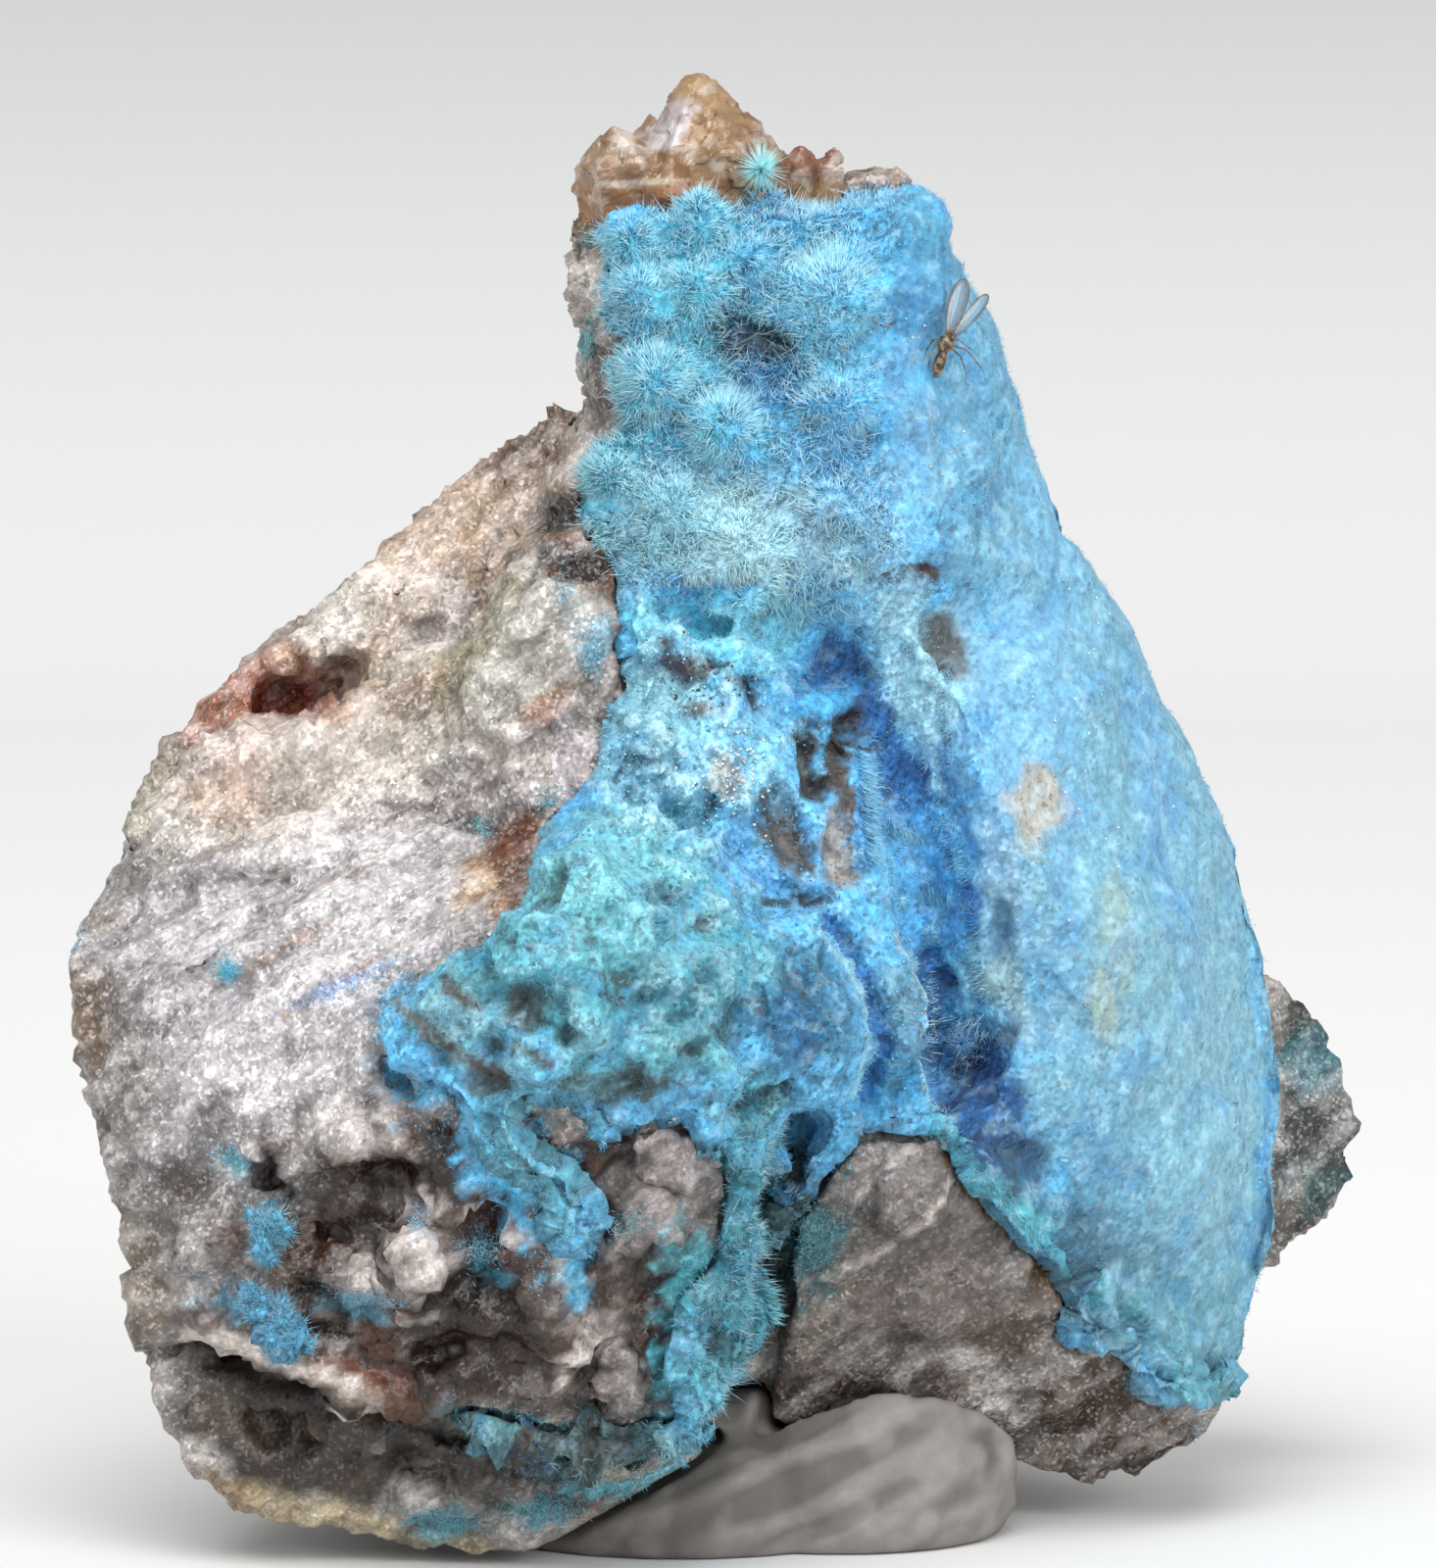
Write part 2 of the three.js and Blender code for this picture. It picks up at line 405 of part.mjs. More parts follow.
// Stained quartz crystals on the top: six-sided prisms with pointed ends, grown into one cluster
const CRYSTALS = [
  { foot: [0, -2.7, 33.8], tip: [-0.3, -3.4, 38.5], radius: 1.9, point: 1.9 },
  { foot: [-1.9, -3, 33.8], tip: [-2.5, -3.7, 37.1], radius: 1.35, point: 0.9 },
  { foot: [-2.3, -1.8, 34], tip: [-3, -2.2, 36.4], radius: 1, point: 0.8 },
  { foot: [1, -2.8, 34], tip: [1.5, -3.1, 36.9], radius: 0.9, point: 0.7 },
  { foot: [-0.9, -3.3, 33.9], tip: [-1, -4.9, 36.3], radius: 0.9, point: 0.8 },
  { foot: [-1.2, -1.4, 34], tip: [-1.6, -0.8, 37.4], radius: 1.2, point: 1.1 },
  { foot: [0.7, -1.2, 34], tip: [1.1, -0.4, 36.7], radius: 1, point: 0.9 },
  { foot: [2.1, -2.4, 34], tip: [2.3, -2.7, 36.5], radius: 0.6, point: 0.5 },
  { foot: [2.9, -2.2, 34], tip: [3.2, -2.4, 36.4], radius: 0.55, point: 0.5 },
];

function crystal({ foot, tip, radius, point }, grow = 0) {
  const along = new THREE.Vector3(...tip).sub(new THREE.Vector3(...foot));
  const length = along.length() + grow;
  const wide = radius + grow;
  const profile = [[0, 0], [wide, 0], [wide * 0.94, length - point], [0, length]];
  const prism = new THREE.LatheGeometry(profile.map(([r, h]) => new THREE.Vector2(r, h)), 6);
  prism.rotateY(foot[0] + foot[1]);
  const upright = new THREE.Vector3(0, 1, 0);
  prism.applyQuaternion(new THREE.Quaternion().setFromUnitVectors(upright, along.normalize()));
  prism.translate(...foot);
  return solidOf(prism);
}

const quartz = largest(join(CRYSTALS.map((one) => crystal(one))).subtract(rockRoom));
const quartzRoom = join(CRYSTALS.map((one) => crystal(one, GAP)));

// Needle balls and swells of the velvet, x and z as seen from the front, and radius
const BALLS = [
  [-2, 34.3, 1.1], [-0.3, 34.7, 1.2], [1.3, 35, 1.1], [5.1, 34.6, 1.3], [-1.8, 32.8, 1.3],
  [-0.5, 32.9, 1.4], [0.9, 33.6, 1.1], [3.1, 32.6, 2], [5.2, 32.9, 1.3], [-1.4, 30.6, 1.5],
  [0.3, 29.4, 1.5], [3.3, 30, 1.5], [5, 29.7, 1.1], [6.8, 28.4, 1.4], [-2.5, 28.1, 1.1],
  [-1, 27.4, 1.3], [0.8, 26.2, 1.8], [3.2, 27.4, 1.2], [4.8, 26, 1.1], [-1, 23.9, 1],
  [0.8, 23.2, 1.4], [-1.3, 21.6, 1.2], [0.3, 20.4, 1.1], [2.5, 16.9, 1.2], [2.4, 14.4, 2.3],
  [4.8, 13.6, 1.4], [-3.4, 18.5, 1.4], [-1.8, 17.5, 1.5], [-0.3, 15.6, 1.5], [-4.7, 16.7, 1.4],
  [-3, 15.4, 1.6], [-1.4, 13.7, 1.4], [-4.2, 13.8, 1.3], [-6.4, 14.9, 1.3], [-3.4, 9.4, 0.9],
  [1.8, 10.4, 0.9], [0.2, 4.6, 0.9], [10.4, 5.8, 1], [12.4, 4.2, 1.1],
];
const SWELLS = [[9.4, 22, 2.8], [11, 16.4, 3.2], [9.6, 12.2, 2.6], [12.4, 9.4, 3]];
const PATCH_BALLS = { lowPatch: [-11, 6.7, 0.8], smallPatch: [-11.2, 9.1, 0.6] };
const SWELL_FLATNESS = 0.25;

const velvet = grownRock(VELVET, 1.15);
const hitVelvet = surfaceOf(velvet);

function ball([x, z, radius], flatness = 1) {
  const { point, face } = hitVelvet(...SIGHTS.front(x, z));
  const globe = new THREE.OctahedronGeometry(radius, 1);
  globe.rotateX(x);
  globe.rotateZ(z);
  globe.scale(1, 1, flatness);
  const facing = new THREE.Quaternion().setFromUnitVectors(new THREE.Vector3(0, 0, 1), face.normal);
  globe.applyQuaternion(facing);
  globe.translate(...point.addScaledVector(face.normal, -BURIED * radius * flatness).toArray());
  return solidOf(globe);
}

// Bare rock shows through the velvet in three places
const WINDOWS = [
  [[3.1, -12, 22.2], [3.7, -12, 22], [3.7, -12, 17.8], [3.1, -12, 17.7], [2.9, -12, 20], [3.4, 0, 20]],
  [[1.5, -12, 20.6], [2.3, -12, 20.4], [2.4, -12, 18.2], [1.8, -12, 18.3], [2, 0, 19.4]],
  [[5.7, -12, 24.3], [6.5, -12, 24.2], [6.4, -12, 23.2], [5.8, -12, 23.3], [6.1, 0, 23.8]],
];

const crust = largest(
  join([
    velvet.intersect(join(Object.values(CRUST_OUTLINES).map(outlineBlock))),
    ...BALLS.map((one) => ball(one)),
    ...SWELLS.map((one) => ball(one, SWELL_FLATNESS)),
  ]).subtract(join([rockRoom, quartzRoom, ...WINDOWS.map((points) => block(points))])),
);
const patch = (name) => largest(
  velvet.intersect(outlineBlock(PATCH_OUTLINES[name])).add(ball(PATCH_BALLS[name])).subtract(rockRoom),
);

// The putty: a pressed lump with a flat foot, squeezed up under the rock
const PUTTY_LOBES = [
  { at: [3.4, 0.4, 1.6], size: [4.7, 4.6, 4.3] },
  { at: [-0.8, 0.2, 0.8], size: [5.3, 4.9, 3.6] },
  { at: [1.4, 2.6, 1.2], size: [5, 3.6, 3.8] },
];

function lobe({ at, size }) {
  const round = new THREE.IcosahedronGeometry(1, 3);
  round.scale(...size);
  round.translate(...at);
  return solidOf(round);
}

const puttyRoom = new THREE.BoxGeometry(30, 30, PUTTY_TOP);
puttyRoom.translate(0, 0, PUTTY_TOP / 2);
const putty = largest(
  join(PUTTY_LOBES.map(lobe)).intersect(solidOf(puttyRoom)).subtract(rockRoom),
);

// The dried gnat: head, chest and tapering body, with two wings held up from the chest
const GNAT_AT = { x: 5.85, z: 31.4 };
const GNAT_PARTS = [
  { at: [0.18, -0.1, 0.36], size: [0.17, 0.17, 0.16], lean: 0 },
  { at: [0.1, -0.12, 0.1], size: [0.21, 0.23, 0.25], lean: 0.3 },
  { at: [-0.06, -0.06, -0.42], size: [0.18, 0.19, 0.56], lean: 0.3 },
];
const WINGS = [
  { base: 0.06, lean: 0.29, length: 1.6, width: 0.62 },
  { base: 0.2, lean: 0.72, length: 1.45, width: 0.42 },
];
const WING_THICKNESS = 0.1;

function gnatSolid() {
  const { point, face } = hitVelvet(...SIGHTS.front(GNAT_AT.x, GNAT_AT.z));
  const pieces = GNAT_PARTS.map(({ at, size, lean }) => {
    const bead = new THREE.OctahedronGeometry(1, 1);
    bead.scale(...size);
    bead.rotateY(lean);
    bead.translate(...at);
    return bead;
  });
  for (const { base, lean, length, width } of WINGS) {
    const outline = new THREE.Shape();
    outline.moveTo(-0.06, 0);
    outline.bezierCurveTo(-width * 0.8, length * 0.45, -width * 0.6, length, 0, length);
    outline.bezierCurveTo(width * 0.6, length, width * 0.55, length * 0.4, 0.06, 0);
    const wing = new THREE.ExtrudeGeometry(outline, {
      depth: WING_THICKNESS,
      bevelEnabled: false,
      curveSegments: 3,
    });
    wing.rotateX(Math.PI / 2 - 0.12);
    wing.rotateY(lean);
    wing.translate(base, -0.12, 0.2);
    pieces.push(wing);
  }
  const middle = point.addScaledVector(face.normal, GNAT_STANDS).toArray();
  return join(pieces.map((piece) => {
    piece.translate(...middle);
    return solidOf(piece);
  }));
}

const gnat = largest(gnatSolid().subtract(crust));

// Materials, by their colour in the photograph
const material = (color, roughness) => new THREE.MeshStandardMaterial({ color, roughness, metalness: 0 });
const PARTS = [
  ['matrix_rock', rock, material(0x9c948e, 0.85)],
  ['quartz_crystals', quartz, material(0xb08f76, 0.35)],
  ['velvet_crust', crust, material(0x52a9d6, 0.9)],
  ['low_left_patch', patch('lowPatch'), material(0x4fa6c8, 0.9)],
  ['small_left_patch', patch('smallPatch'), material(0x5fa9c8, 0.9)],
  ['putty_rest', putty, material(0xa9a5a1, 0.8)],
  ['dried_gnat', gnat, material(0x8d7a5e, 0.6)],
];

const specimen = new THREE.Group();
specimen.name = 'cyanotrichite_specimen';
for (const [name, solid, finish] of PARTS) {
  const mesh = new THREE.Mesh(geometryOf(solid), finish);
  mesh.name = name;
  specimen.add(mesh);
}

const middle = new THREE.Box3().setFromObject(specimen).getCenter(new THREE.Vector3());
specimen.position.set(-middle.x, -middle.y, 0);

export default specimen;
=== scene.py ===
# %% [markdown]
# A cyanotrichite specimen. It is a chunk of broken quartz rock, 34 mm wide, and 38 mm tall with the
# lump of putty that holds it upright. A velvet of hair-fine copper crystals grew over its front,
# stained quartz crystals stand on its top, and a dried gnat is stuck to the blue.
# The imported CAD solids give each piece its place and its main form. This lesson takes a copy of
# each solid, cuts it into small voxels, and roughens, colours and covers it as the real one is.

import math

import bmesh
import bpy
import numpy as np
from mathutils import Matrix, Vector, noise
from mathutils.bvhtree import BVHTree


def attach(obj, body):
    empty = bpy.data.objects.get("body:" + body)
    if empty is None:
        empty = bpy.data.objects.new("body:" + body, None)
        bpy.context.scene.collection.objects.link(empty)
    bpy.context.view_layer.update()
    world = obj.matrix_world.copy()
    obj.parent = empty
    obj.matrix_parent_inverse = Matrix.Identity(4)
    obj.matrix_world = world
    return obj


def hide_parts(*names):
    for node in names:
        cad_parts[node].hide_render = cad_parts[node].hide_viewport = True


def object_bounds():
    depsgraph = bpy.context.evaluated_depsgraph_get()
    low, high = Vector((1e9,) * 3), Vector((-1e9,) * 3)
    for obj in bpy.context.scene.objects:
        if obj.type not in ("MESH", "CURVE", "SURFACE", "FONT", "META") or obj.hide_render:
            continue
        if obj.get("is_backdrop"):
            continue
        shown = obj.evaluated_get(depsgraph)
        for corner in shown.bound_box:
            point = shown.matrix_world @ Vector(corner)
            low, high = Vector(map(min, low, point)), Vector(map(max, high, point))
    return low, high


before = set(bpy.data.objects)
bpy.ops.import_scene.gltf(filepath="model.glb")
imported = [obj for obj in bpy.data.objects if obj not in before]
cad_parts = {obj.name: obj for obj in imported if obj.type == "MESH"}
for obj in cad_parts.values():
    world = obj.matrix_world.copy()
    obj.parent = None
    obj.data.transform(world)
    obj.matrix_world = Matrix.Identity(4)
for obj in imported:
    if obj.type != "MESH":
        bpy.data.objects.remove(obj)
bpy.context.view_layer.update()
MM = 0.001

# %% [markdown]
# The camera stands 230 mm in front of the blue face and looks down by 5 degrees, as a macro lens
# on a stand would. A long lens fills the picture with 40 mm of height. The same numbers tell where
# any point of the specimen shows, and the colours below are laid out by that front view.

# %% Camera, and where a point shows from the front
TARGET = Vector((-0.36, -6.33, 20.3))
DISTANCE = 230
RISE = math.radians(5)
VIEW_HEIGHT = 40
SENSOR = 36
BACKWARD = Vector((0, -math.cos(RISE), math.sin(RISE)))
UPWARD = Vector((0, math.sin(RISE), math.cos(RISE)))
EYE = TARGET + BACKWARD * DISTANCE


def new_object(name, data):
    """Puts a new object with this data into the scene."""
    made = bpy.data.objects.new(name, data)
    bpy.context.scene.collection.objects.link(made)
    return made


camera = new_object("camera", bpy.data.cameras.new("camera"))
camera.location = EYE * MM
camera.rotation_euler = (math.pi / 2 - RISE, 0, 0)
camera.data.sensor_width = SENSOR
camera.data.lens = SENSOR * DISTANCE / VIEW_HEIGHT
camera.data.clip_start = 0.01
camera.data.clip_end = 10
bpy.context.scene.camera = camera


def front_view(points):
    """Where points in mm show from the front: mm right of the middle, and mm above the lower edge."""
    away = points - np.array(EYE)
    depth = away @ -np.array(BACKWARD)
    across = DISTANCE * away[:, 0] / depth
    height = DISTANCE * (away @ np.array(UPWARD)) / depth
    return across, height + VIEW_HEIGHT / 2


print("lens", round(camera.data.lens, 1), "mm")

# %% [markdown]
# A material is a small network of nodes. The helpers below turn a hex colour into the linear numbers
# that Blender counts in, add nodes one by one with their settings and links, and start and end a
# network, so that each material says only what is special about it. Patterns are laid out in
# millimetres, so a texture's Scale is how many of its blobs or cells lie along one millimetre.

# %% Colour and node helpers
COLOUR_A, COLOUR_B, COLOUR_OUT = 6, 7, 2  # the sockets of a Mix node that carry colours


def linear(code):
    """An sRGB hex colour as linear numbers."""
    parts = [int(code[i:i + 2], 16) / 255 for i in (1, 3, 5)]
    return tuple(c / 12.92 if c <= 0.04045 else ((c + 0.055) / 1.055) ** 2.4 for c in parts) + (1.0,)


def add(tree, kind, inputs=None, **settings):
    """Adds a shader node. Settings are its properties; inputs are values, or nodes to link."""
    node = tree.nodes.new("ShaderNode" + kind)
    for name, value in settings.items():
        setattr(node, name, value)
    for name, value in (inputs or {}).items():
        if isinstance(value, bpy.types.Node):
            value = value.outputs[0]
        if isinstance(value, bpy.types.NodeSocket):
            tree.links.new(value, node.inputs[name])
        else:
            node.inputs[name].default_value = value
    return node


def new_material(name):
    """An empty node material, its tree, and its object coordinates in mm."""
    material = bpy.data.materials.new(name)
    material.use_nodes = True
    tree = material.node_tree
    tree.nodes.clear()
    place = add(tree, "TexCoord").outputs["Object"]
    return material, tree, add(tree, "VectorMath", {0: place, 1: (1 / MM,) * 3}, operation="MULTIPLY")


def finish_material(tree, **inputs):
    """Ends a tree in a Principled surface; underscores in a name stand for spaces."""
    surface = add(tree, "BsdfPrincipled", {name.replace("_", " "): value for name, value in inputs.items()})
    add(tree, "OutputMaterial", {"Surface": surface})


print("white card", [round(c, 3) for c in linear("#e9e8e5")])

# %% [markdown]
# The floor is one sheet of matt card, white where the specimen stands and pale grey behind, swept up
# in a wide curve so that no edge shows. The white low down is partly painted light: it lifts the
# shade that the specimen casts on the floor.

# %% Floor
FLOOR_HALF = 600
FLOOR_BACK = 260
SWEEP_RADIUS = 220
SWEEP_HEIGHT = 900
GREY_FROM_HEIGHT = 60

card, tree, place = new_material("matt_card")
fibre = add(tree, "TexNoise", {"Vector": place, "Scale": 0.6, "Detail": 3})
grey = add(tree, "Mix", {0: fibre, COLOUR_A: linear("#a1a2a3"), COLOUR_B: linear("#a4a5a6")},
           data_type="RGBA")
height = add(tree, "SeparateXYZ", {0: place}).outputs["Z"]
rising = add(tree, "MapRange", {"Value": height, "From Max": GREY_FROM_HEIGHT})
# White low down, partly painted light that lifts the shade on the floor; pale grey up the sweep
shade = add(tree, "Mix", {0: rising, COLOUR_A: linear("#e2e2e1"), COLOUR_B: grey.outputs[COLOUR_OUT]},
            data_type="RGBA")
finish_material(tree, Base_Color=shade.outputs[COLOUR_OUT], Roughness=0.9)

sheet = bmesh.new()
corners = [sheet.verts.new((side * FLOOR_HALF * MM, -FLOOR_HALF * MM, 0)) for side in (-1, 1)]
moved = bmesh.ops.extrude_edge_only(sheet, edges=[sheet.edges.new(corners)])["geom"]
moved_verts = [v for v in moved if isinstance(v, bmesh.types.BMVert)]
bmesh.ops.translate(sheet, verts=moved_verts, vec=(0, (FLOOR_HALF + FLOOR_BACK) * MM, 0))
bmesh.ops.spin(sheet, geom=moved_verts + [e for e in moved if isinstance(e, bmesh.types.BMEdge)],
               cent=(0, FLOOR_BACK * MM, SWEEP_RADIUS * MM), axis=(1, 0, 0), angle=math.pi / 2, steps=24)
top = [e for e in sheet.edges if min(v.co.z for v in e.verts) > (SWEEP_RADIUS - 1) * MM]
moved = bmesh.ops.extrude_edge_only(sheet, edges=top)["geom"]
bmesh.ops.translate(sheet, verts=[v for v in moved if isinstance(v, bmesh.types.BMVert)],
                    vec=(0, 0, SWEEP_HEIGHT * MM))
floor_mesh = bpy.data.meshes.new("floor")
sheet.to_mesh(floor_mesh)
sheet.free()
floor_mesh.shade_smooth()
floor_mesh.materials.append(card)
floor = new_object("floor", floor_mesh)
floor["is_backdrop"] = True
print("floor:", len(floor_mesh.polygons), "faces")

# %% [markdown]
# Two large soft lights and an even pale sky leave hardly any shadow, as in a light tent.

# %% Lights
LIT_MIDDLE = Vector((0, 0, 18))
SKY_STRENGTH = 0.62


def soft_light(name, place_mm, size_mm, watts, colour):
    """A square soft light that faces the middle of the specimen."""
    lamp = bpy.data.lights.new(name, "AREA")
    lamp.size = size_mm * MM
    lamp.energy = watts
    lamp.color = linear(colour)[:3]
    light = new_object(name, lamp)
    light.location = Vector(place_mm) * MM
    light.rotation_euler = (Vector(place_mm) - LIT_MIDDLE).to_track_quat("Z", "Y").to_euler()


soft_light("key_above_left", (-150, -640, 980), 800, 12.0, "#ffffff")
soft_light("fill_front_right", (560, -820, 420), 600, 6.0, "#fbfdff")

world = bpy.data.worlds.new("pale_sky")
bpy.context.scene.world = world
world.use_nodes = True
sky = world.node_tree.nodes["Background"].inputs
sky["Color"].default_value = linear("#f2f2f2")
sky["Strength"].default_value = SKY_STRENGTH
bpy.context.scene.view_settings.view_transform = "Standard"
print("two lights and sky made")

# %% [markdown]
# Each piece starts from a copy of its CAD solid. The copy's loose triangles are merged, and the
# Remesh modifier cuts it into even voxels, so that there is a point wherever a grain or a pit is to
# be. The voxels leave fine steps, and a few rounds of smoothing take them away.

# %% Copy a solid into voxels
MERGE_MM = 0.002


def fine_copy(node, name, voxel, smooth):
    """A new piece from a CAD solid, with faces of about one voxel in mm, smoothed that many times."""
    piece = new_object(name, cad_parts[node].data.copy())
    form = bmesh.new()
    form.from_mesh(piece.data)
    bmesh.ops.remove_doubles(form, verts=form.verts, dist=MERGE_MM * MM)
    form.to_mesh(piece.data)
    form.free()
    grid = piece.modifiers.new("voxels", "REMESH")
    grid.mode = "VOXEL"
    grid.voxel_size = voxel * MM
    relax_and_bake(piece, smooth)
    piece.data.materials.clear()
    return piece


def relax_and_bake(piece, rounds):
    """Smooths a piece that many times, and turns what its modifiers make into its own mesh."""
    relax = piece.modifiers.new("relax", "SMOOTH")
    relax.factor = 0.5
    relax.iterations = rounds
    made = bpy.data.meshes.new_from_object(piece.evaluated_get(bpy.context.evaluated_depsgraph_get()))
    piece.modifiers.clear()
    piece.data = made
    made.name = piece.name


print("solids in the frame:", ", ".join(sorted(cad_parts)))

# %% [markdown]
# The points of a piece are handled as one numpy array in millimetres, which is quick and easy to
# read. Each point can also store a colour and one more number for its material.

# %% Points as arrays
def surface_of(mesh):
    """The points of a mesh in mm, and the outward direction at each."""
    places, outward = (np.empty(len(mesh.vertices) * 3, np.float32) for _ in range(2))
    mesh.vertices.foreach_get("co", places)
    mesh.vertex_normals.foreach_get("vector", outward)
    return places.reshape(-1, 3).astype(float) / MM, outward.reshape(-1, 3).astype(float)


def set_points(mesh, points):
    """Moves the points of a mesh, given in mm."""
    mesh.vertices.foreach_set("co", (points * MM).astype(np.float32).ravel())
    mesh.update()


def set_tint(mesh, colours, fourth=1.0):
    """Stores a linear colour and a fourth number at each point of a mesh, for its material to read."""
    tint = mesh.attributes.new("tint", "FLOAT_COLOR", "POINT")
    rgba = np.ones((len(colours), 4), np.float32)
    rgba[:, :3] = np.clip(colours, 0, 1)
    rgba[:, 3] = fourth
    tint.data.foreach_set("color", rgba.ravel())


print("the rock's solid has", len(surface_of(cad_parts["matrix_rock"].data)[0]), "points")

# %% [markdown]
# A search tree finds where a ray meets a mesh. It tells whether a point of the rock has crust in
# front of it, and where a place of the front view lies on a surface.

# %% Search trees
RAY_START_MM = 0.02


def tree_of(mesh):
    """A search tree of a mesh, for rays, in metres."""
    mesh.calc_loop_triangles()
    corners = [v.co.copy() for v in mesh.vertices]
    return BVHTree.FromPolygons(corners, [tuple(t.vertices) for t in mesh.loop_triangles])


def covered_by(tree, points, normals, reach):
    """1 where a ray of that reach in mm, along the normal, meets the tree."""
    starts = (points + normals * RAY_START_MM) * MM
    return np.array([tree.ray_cast(p, n, reach * MM)[0] is not None for p, n in zip(starts, normals)], float)


rock_cad = tree_of(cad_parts["matrix_rock"].data)
crust_cad = tree_of(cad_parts["velvet_crust"].data)
print("search trees of the rock and the crust made")

# %% [markdown]
# Broken rock and crystal crusts have no pattern that repeats, so every bump and blot comes from
# seeded 3-D noise: rough noise for swells and stains, ridged noise for sharp splinters, and cells
# for chips and grains.

# %% Noise helpers
SEED_STEP = 9.7
NOISE_FALL = 0.9  # how fast finer detail gets weaker
CHIP_SLOPE = 1.6
CHIP_STEP = 0.5


def noise_places(points, size, seed):
    """The points counted in blobs of that size in mm, with another part of the noise for each seed."""
    return (points / size + seed * SEED_STEP).tolist()


def rough_noise(points, size, seed, octaves=4):
    """Noise from about -1 to 1 in blobs of that size in mm, with finer and finer detail."""
    places = noise_places(points, size, seed)
    return np.array([noise.fractal(p, NOISE_FALL, 2, octaves) for p in places]) * 1.3


def ridge_noise(points, size, seed, octaves=4):
    """Noise from about 0 to 1 with sharp crests."""
    raw = np.array([noise.ridged_multi_fractal(p, NOISE_FALL, 2.1, octaves, 1, 2)
                    for p in noise_places(points, size, seed)])
    return np.clip((raw - 0.3) / 1.2, 0, 1)


def cells(points, size, seed):
    """Distance to the nearest of scattered cell centres, in cell sizes."""
    return np.array([noise.voronoi(p)[0][0] for p in noise_places(points, size, seed)])


def chips(points, size, seed):
    """Flat chips of that size: each has its own level and slope, so that steps stand between them."""
    heights = []
    for p in noise_places(points, size, seed):
        centre = noise.voronoi(p)[1][0]
        slope = noise.cell_vector(centre * 31.7) - Vector((0.5, 0.5, 0.5))
        heights.append((Vector(p) - centre).dot(slope) * CHIP_SLOPE + slope.x * CHIP_STEP)
    return np.array(heights)


print("a place 3 mm out is", noise_places(np.array([3.0]), 1.5, 0)[0], "blobs of 1.5 mm out")

# %% [markdown]
# Colours are laid on in soft-edged ellipses and strokes, one over the other, like washes of paint,
# and noise frays their edges. The same ellipses say where a face is smooth, pitted or dented.

# %% Paint helpers
SPOT_EDGE = (0.55, 1.25)  # where a spot starts to fade and where it ends, in half widths
STROKE_EDGE = (0.5, 1.2)  # the same for a stroke, in widths


def step(low, high, value):
    """0 below low, 1 above high, and a smooth rise between."""
    t = np.clip((value - low) / (high - low), 0, 1)
    return t * t * (3 - 2 * t)


def spot(view, fray, x, z, wide, tall, lean=0.0):
    """1 in the middle of a soft ellipse in the front view, 0 outside; lean turns it, in degrees."""
    c, s = math.cos(math.radians(lean)), math.sin(math.radians(lean))
    dx, dz = view[0] - x, view[1] - z
    far = np.hypot((dx * c + dz * s) / wide, (dz * c - dx * s) / tall)
    return 1 - step(*SPOT_EDGE, far + fray * 0.35)


def stroke(view, fray, width, *path):
    """1 along a line through the points of the path in the front view, 0 beyond its width in mm."""
    far = np.full(len(fray), 1e9)
    for (x0, z0), (x1, z1) in zip(path, path[1:]):
        dx, dz = x1 - x0, z1 - z0
        t = np.clip(((view[0] - x0) * dx + (view[1] - z0) * dz) / (dx * dx + dz * dz), 0, 1)
        far = np.minimum(far, np.hypot(view[0] - x0 - t * dx, view[1] - z0 - t * dz))
    return 1 - step(*STROKE_EDGE, far / width + fray * 0.4)


def plain(code, count):
    """A hex colour for that many points."""
    return np.tile(linear(code)[:3], (count, 1))


def wash(colours, *layers):
    """Lays hex colours over the colours, one by one, each by an amount from 0 to 1 at each point."""
    for code, amount in layers:
        amount = np.clip(np.broadcast_to(amount, len(colours)), 0, 1)[:, None]
        colours = colours * (1 - amount) + np.array(linear(code)[:3]) * amount
    return colours


def paint_spots(colours, view, fray, table, mask=1.0):
    """Washes the ellipses of a table over the colours, where the mask is 1."""
    for *place, code, strength in table:
        colours = wash(colours, (code, spot(view, fray, *place) * strength * mask))
    return colours


def paint_strokes(colours, view, fray, table, mask=1.0):
    """Washes the lines of a table over the colours, where the mask is 1."""
    for code, strength, width, *path in table:
        colours = wash(colours, (code, stroke(view, fray, width, *path) * strength * mask))
    return colours


print("a step at its middle gives", float(step(0, 1, np.array(0.5))))

# %% [markdown]
# The rock is quartz that broke with rough, sugary faces. Its left face is a smooth break with fine
# streaks that run up to the right, its foot is pitted and lumpy, and the small face under the blue
# on the right broke flat. Ellipses in the front view say where each of these faces is.

# %% Rock: fine copy and faces
ROCK_VOXEL = 0.236
CRUST_REACH = 1.6  # a point of the rock that has crust this close outside, in mm, is under the crust

rock = fine_copy("matrix_rock", "rock", ROCK_VOXEL, smooth=1)
rock_points, rock_normals = surface_of(rock.data)
rock_view = front_view(rock_points)
rock_front = step(-0.25, 0.15, -rock_normals[:, 1])
under_crust = covered_by(crust_cad, rock_points, rock_normals, CRUST_REACH)
fray = rough_noise(rock_points, 1.3, 5)


def on_rock(*place, frayed=1.0):
    """1 in an ellipse on the front of the rock."""
    return spot(rock_view, fray * frayed, *place) * rock_front


left_face = on_rock(-10.8, 15.2, 6.6, 4.4, 32)
flat_face = on_rock(5.0, 8.0, 3.6, 4.2, -10)
foot = on_rock(-5.2, 7.6, 7.4, 4.6, -6)
smooth_slab = on_rock(-10.4, 20.6, 3.0, 0.9, 16, frayed=0.5)
calm = np.clip(left_face + flat_face + smooth_slab, 0, 1)
print("rock:", len(rock_points), "points,", int(under_crust.sum()), "of them under the crust")

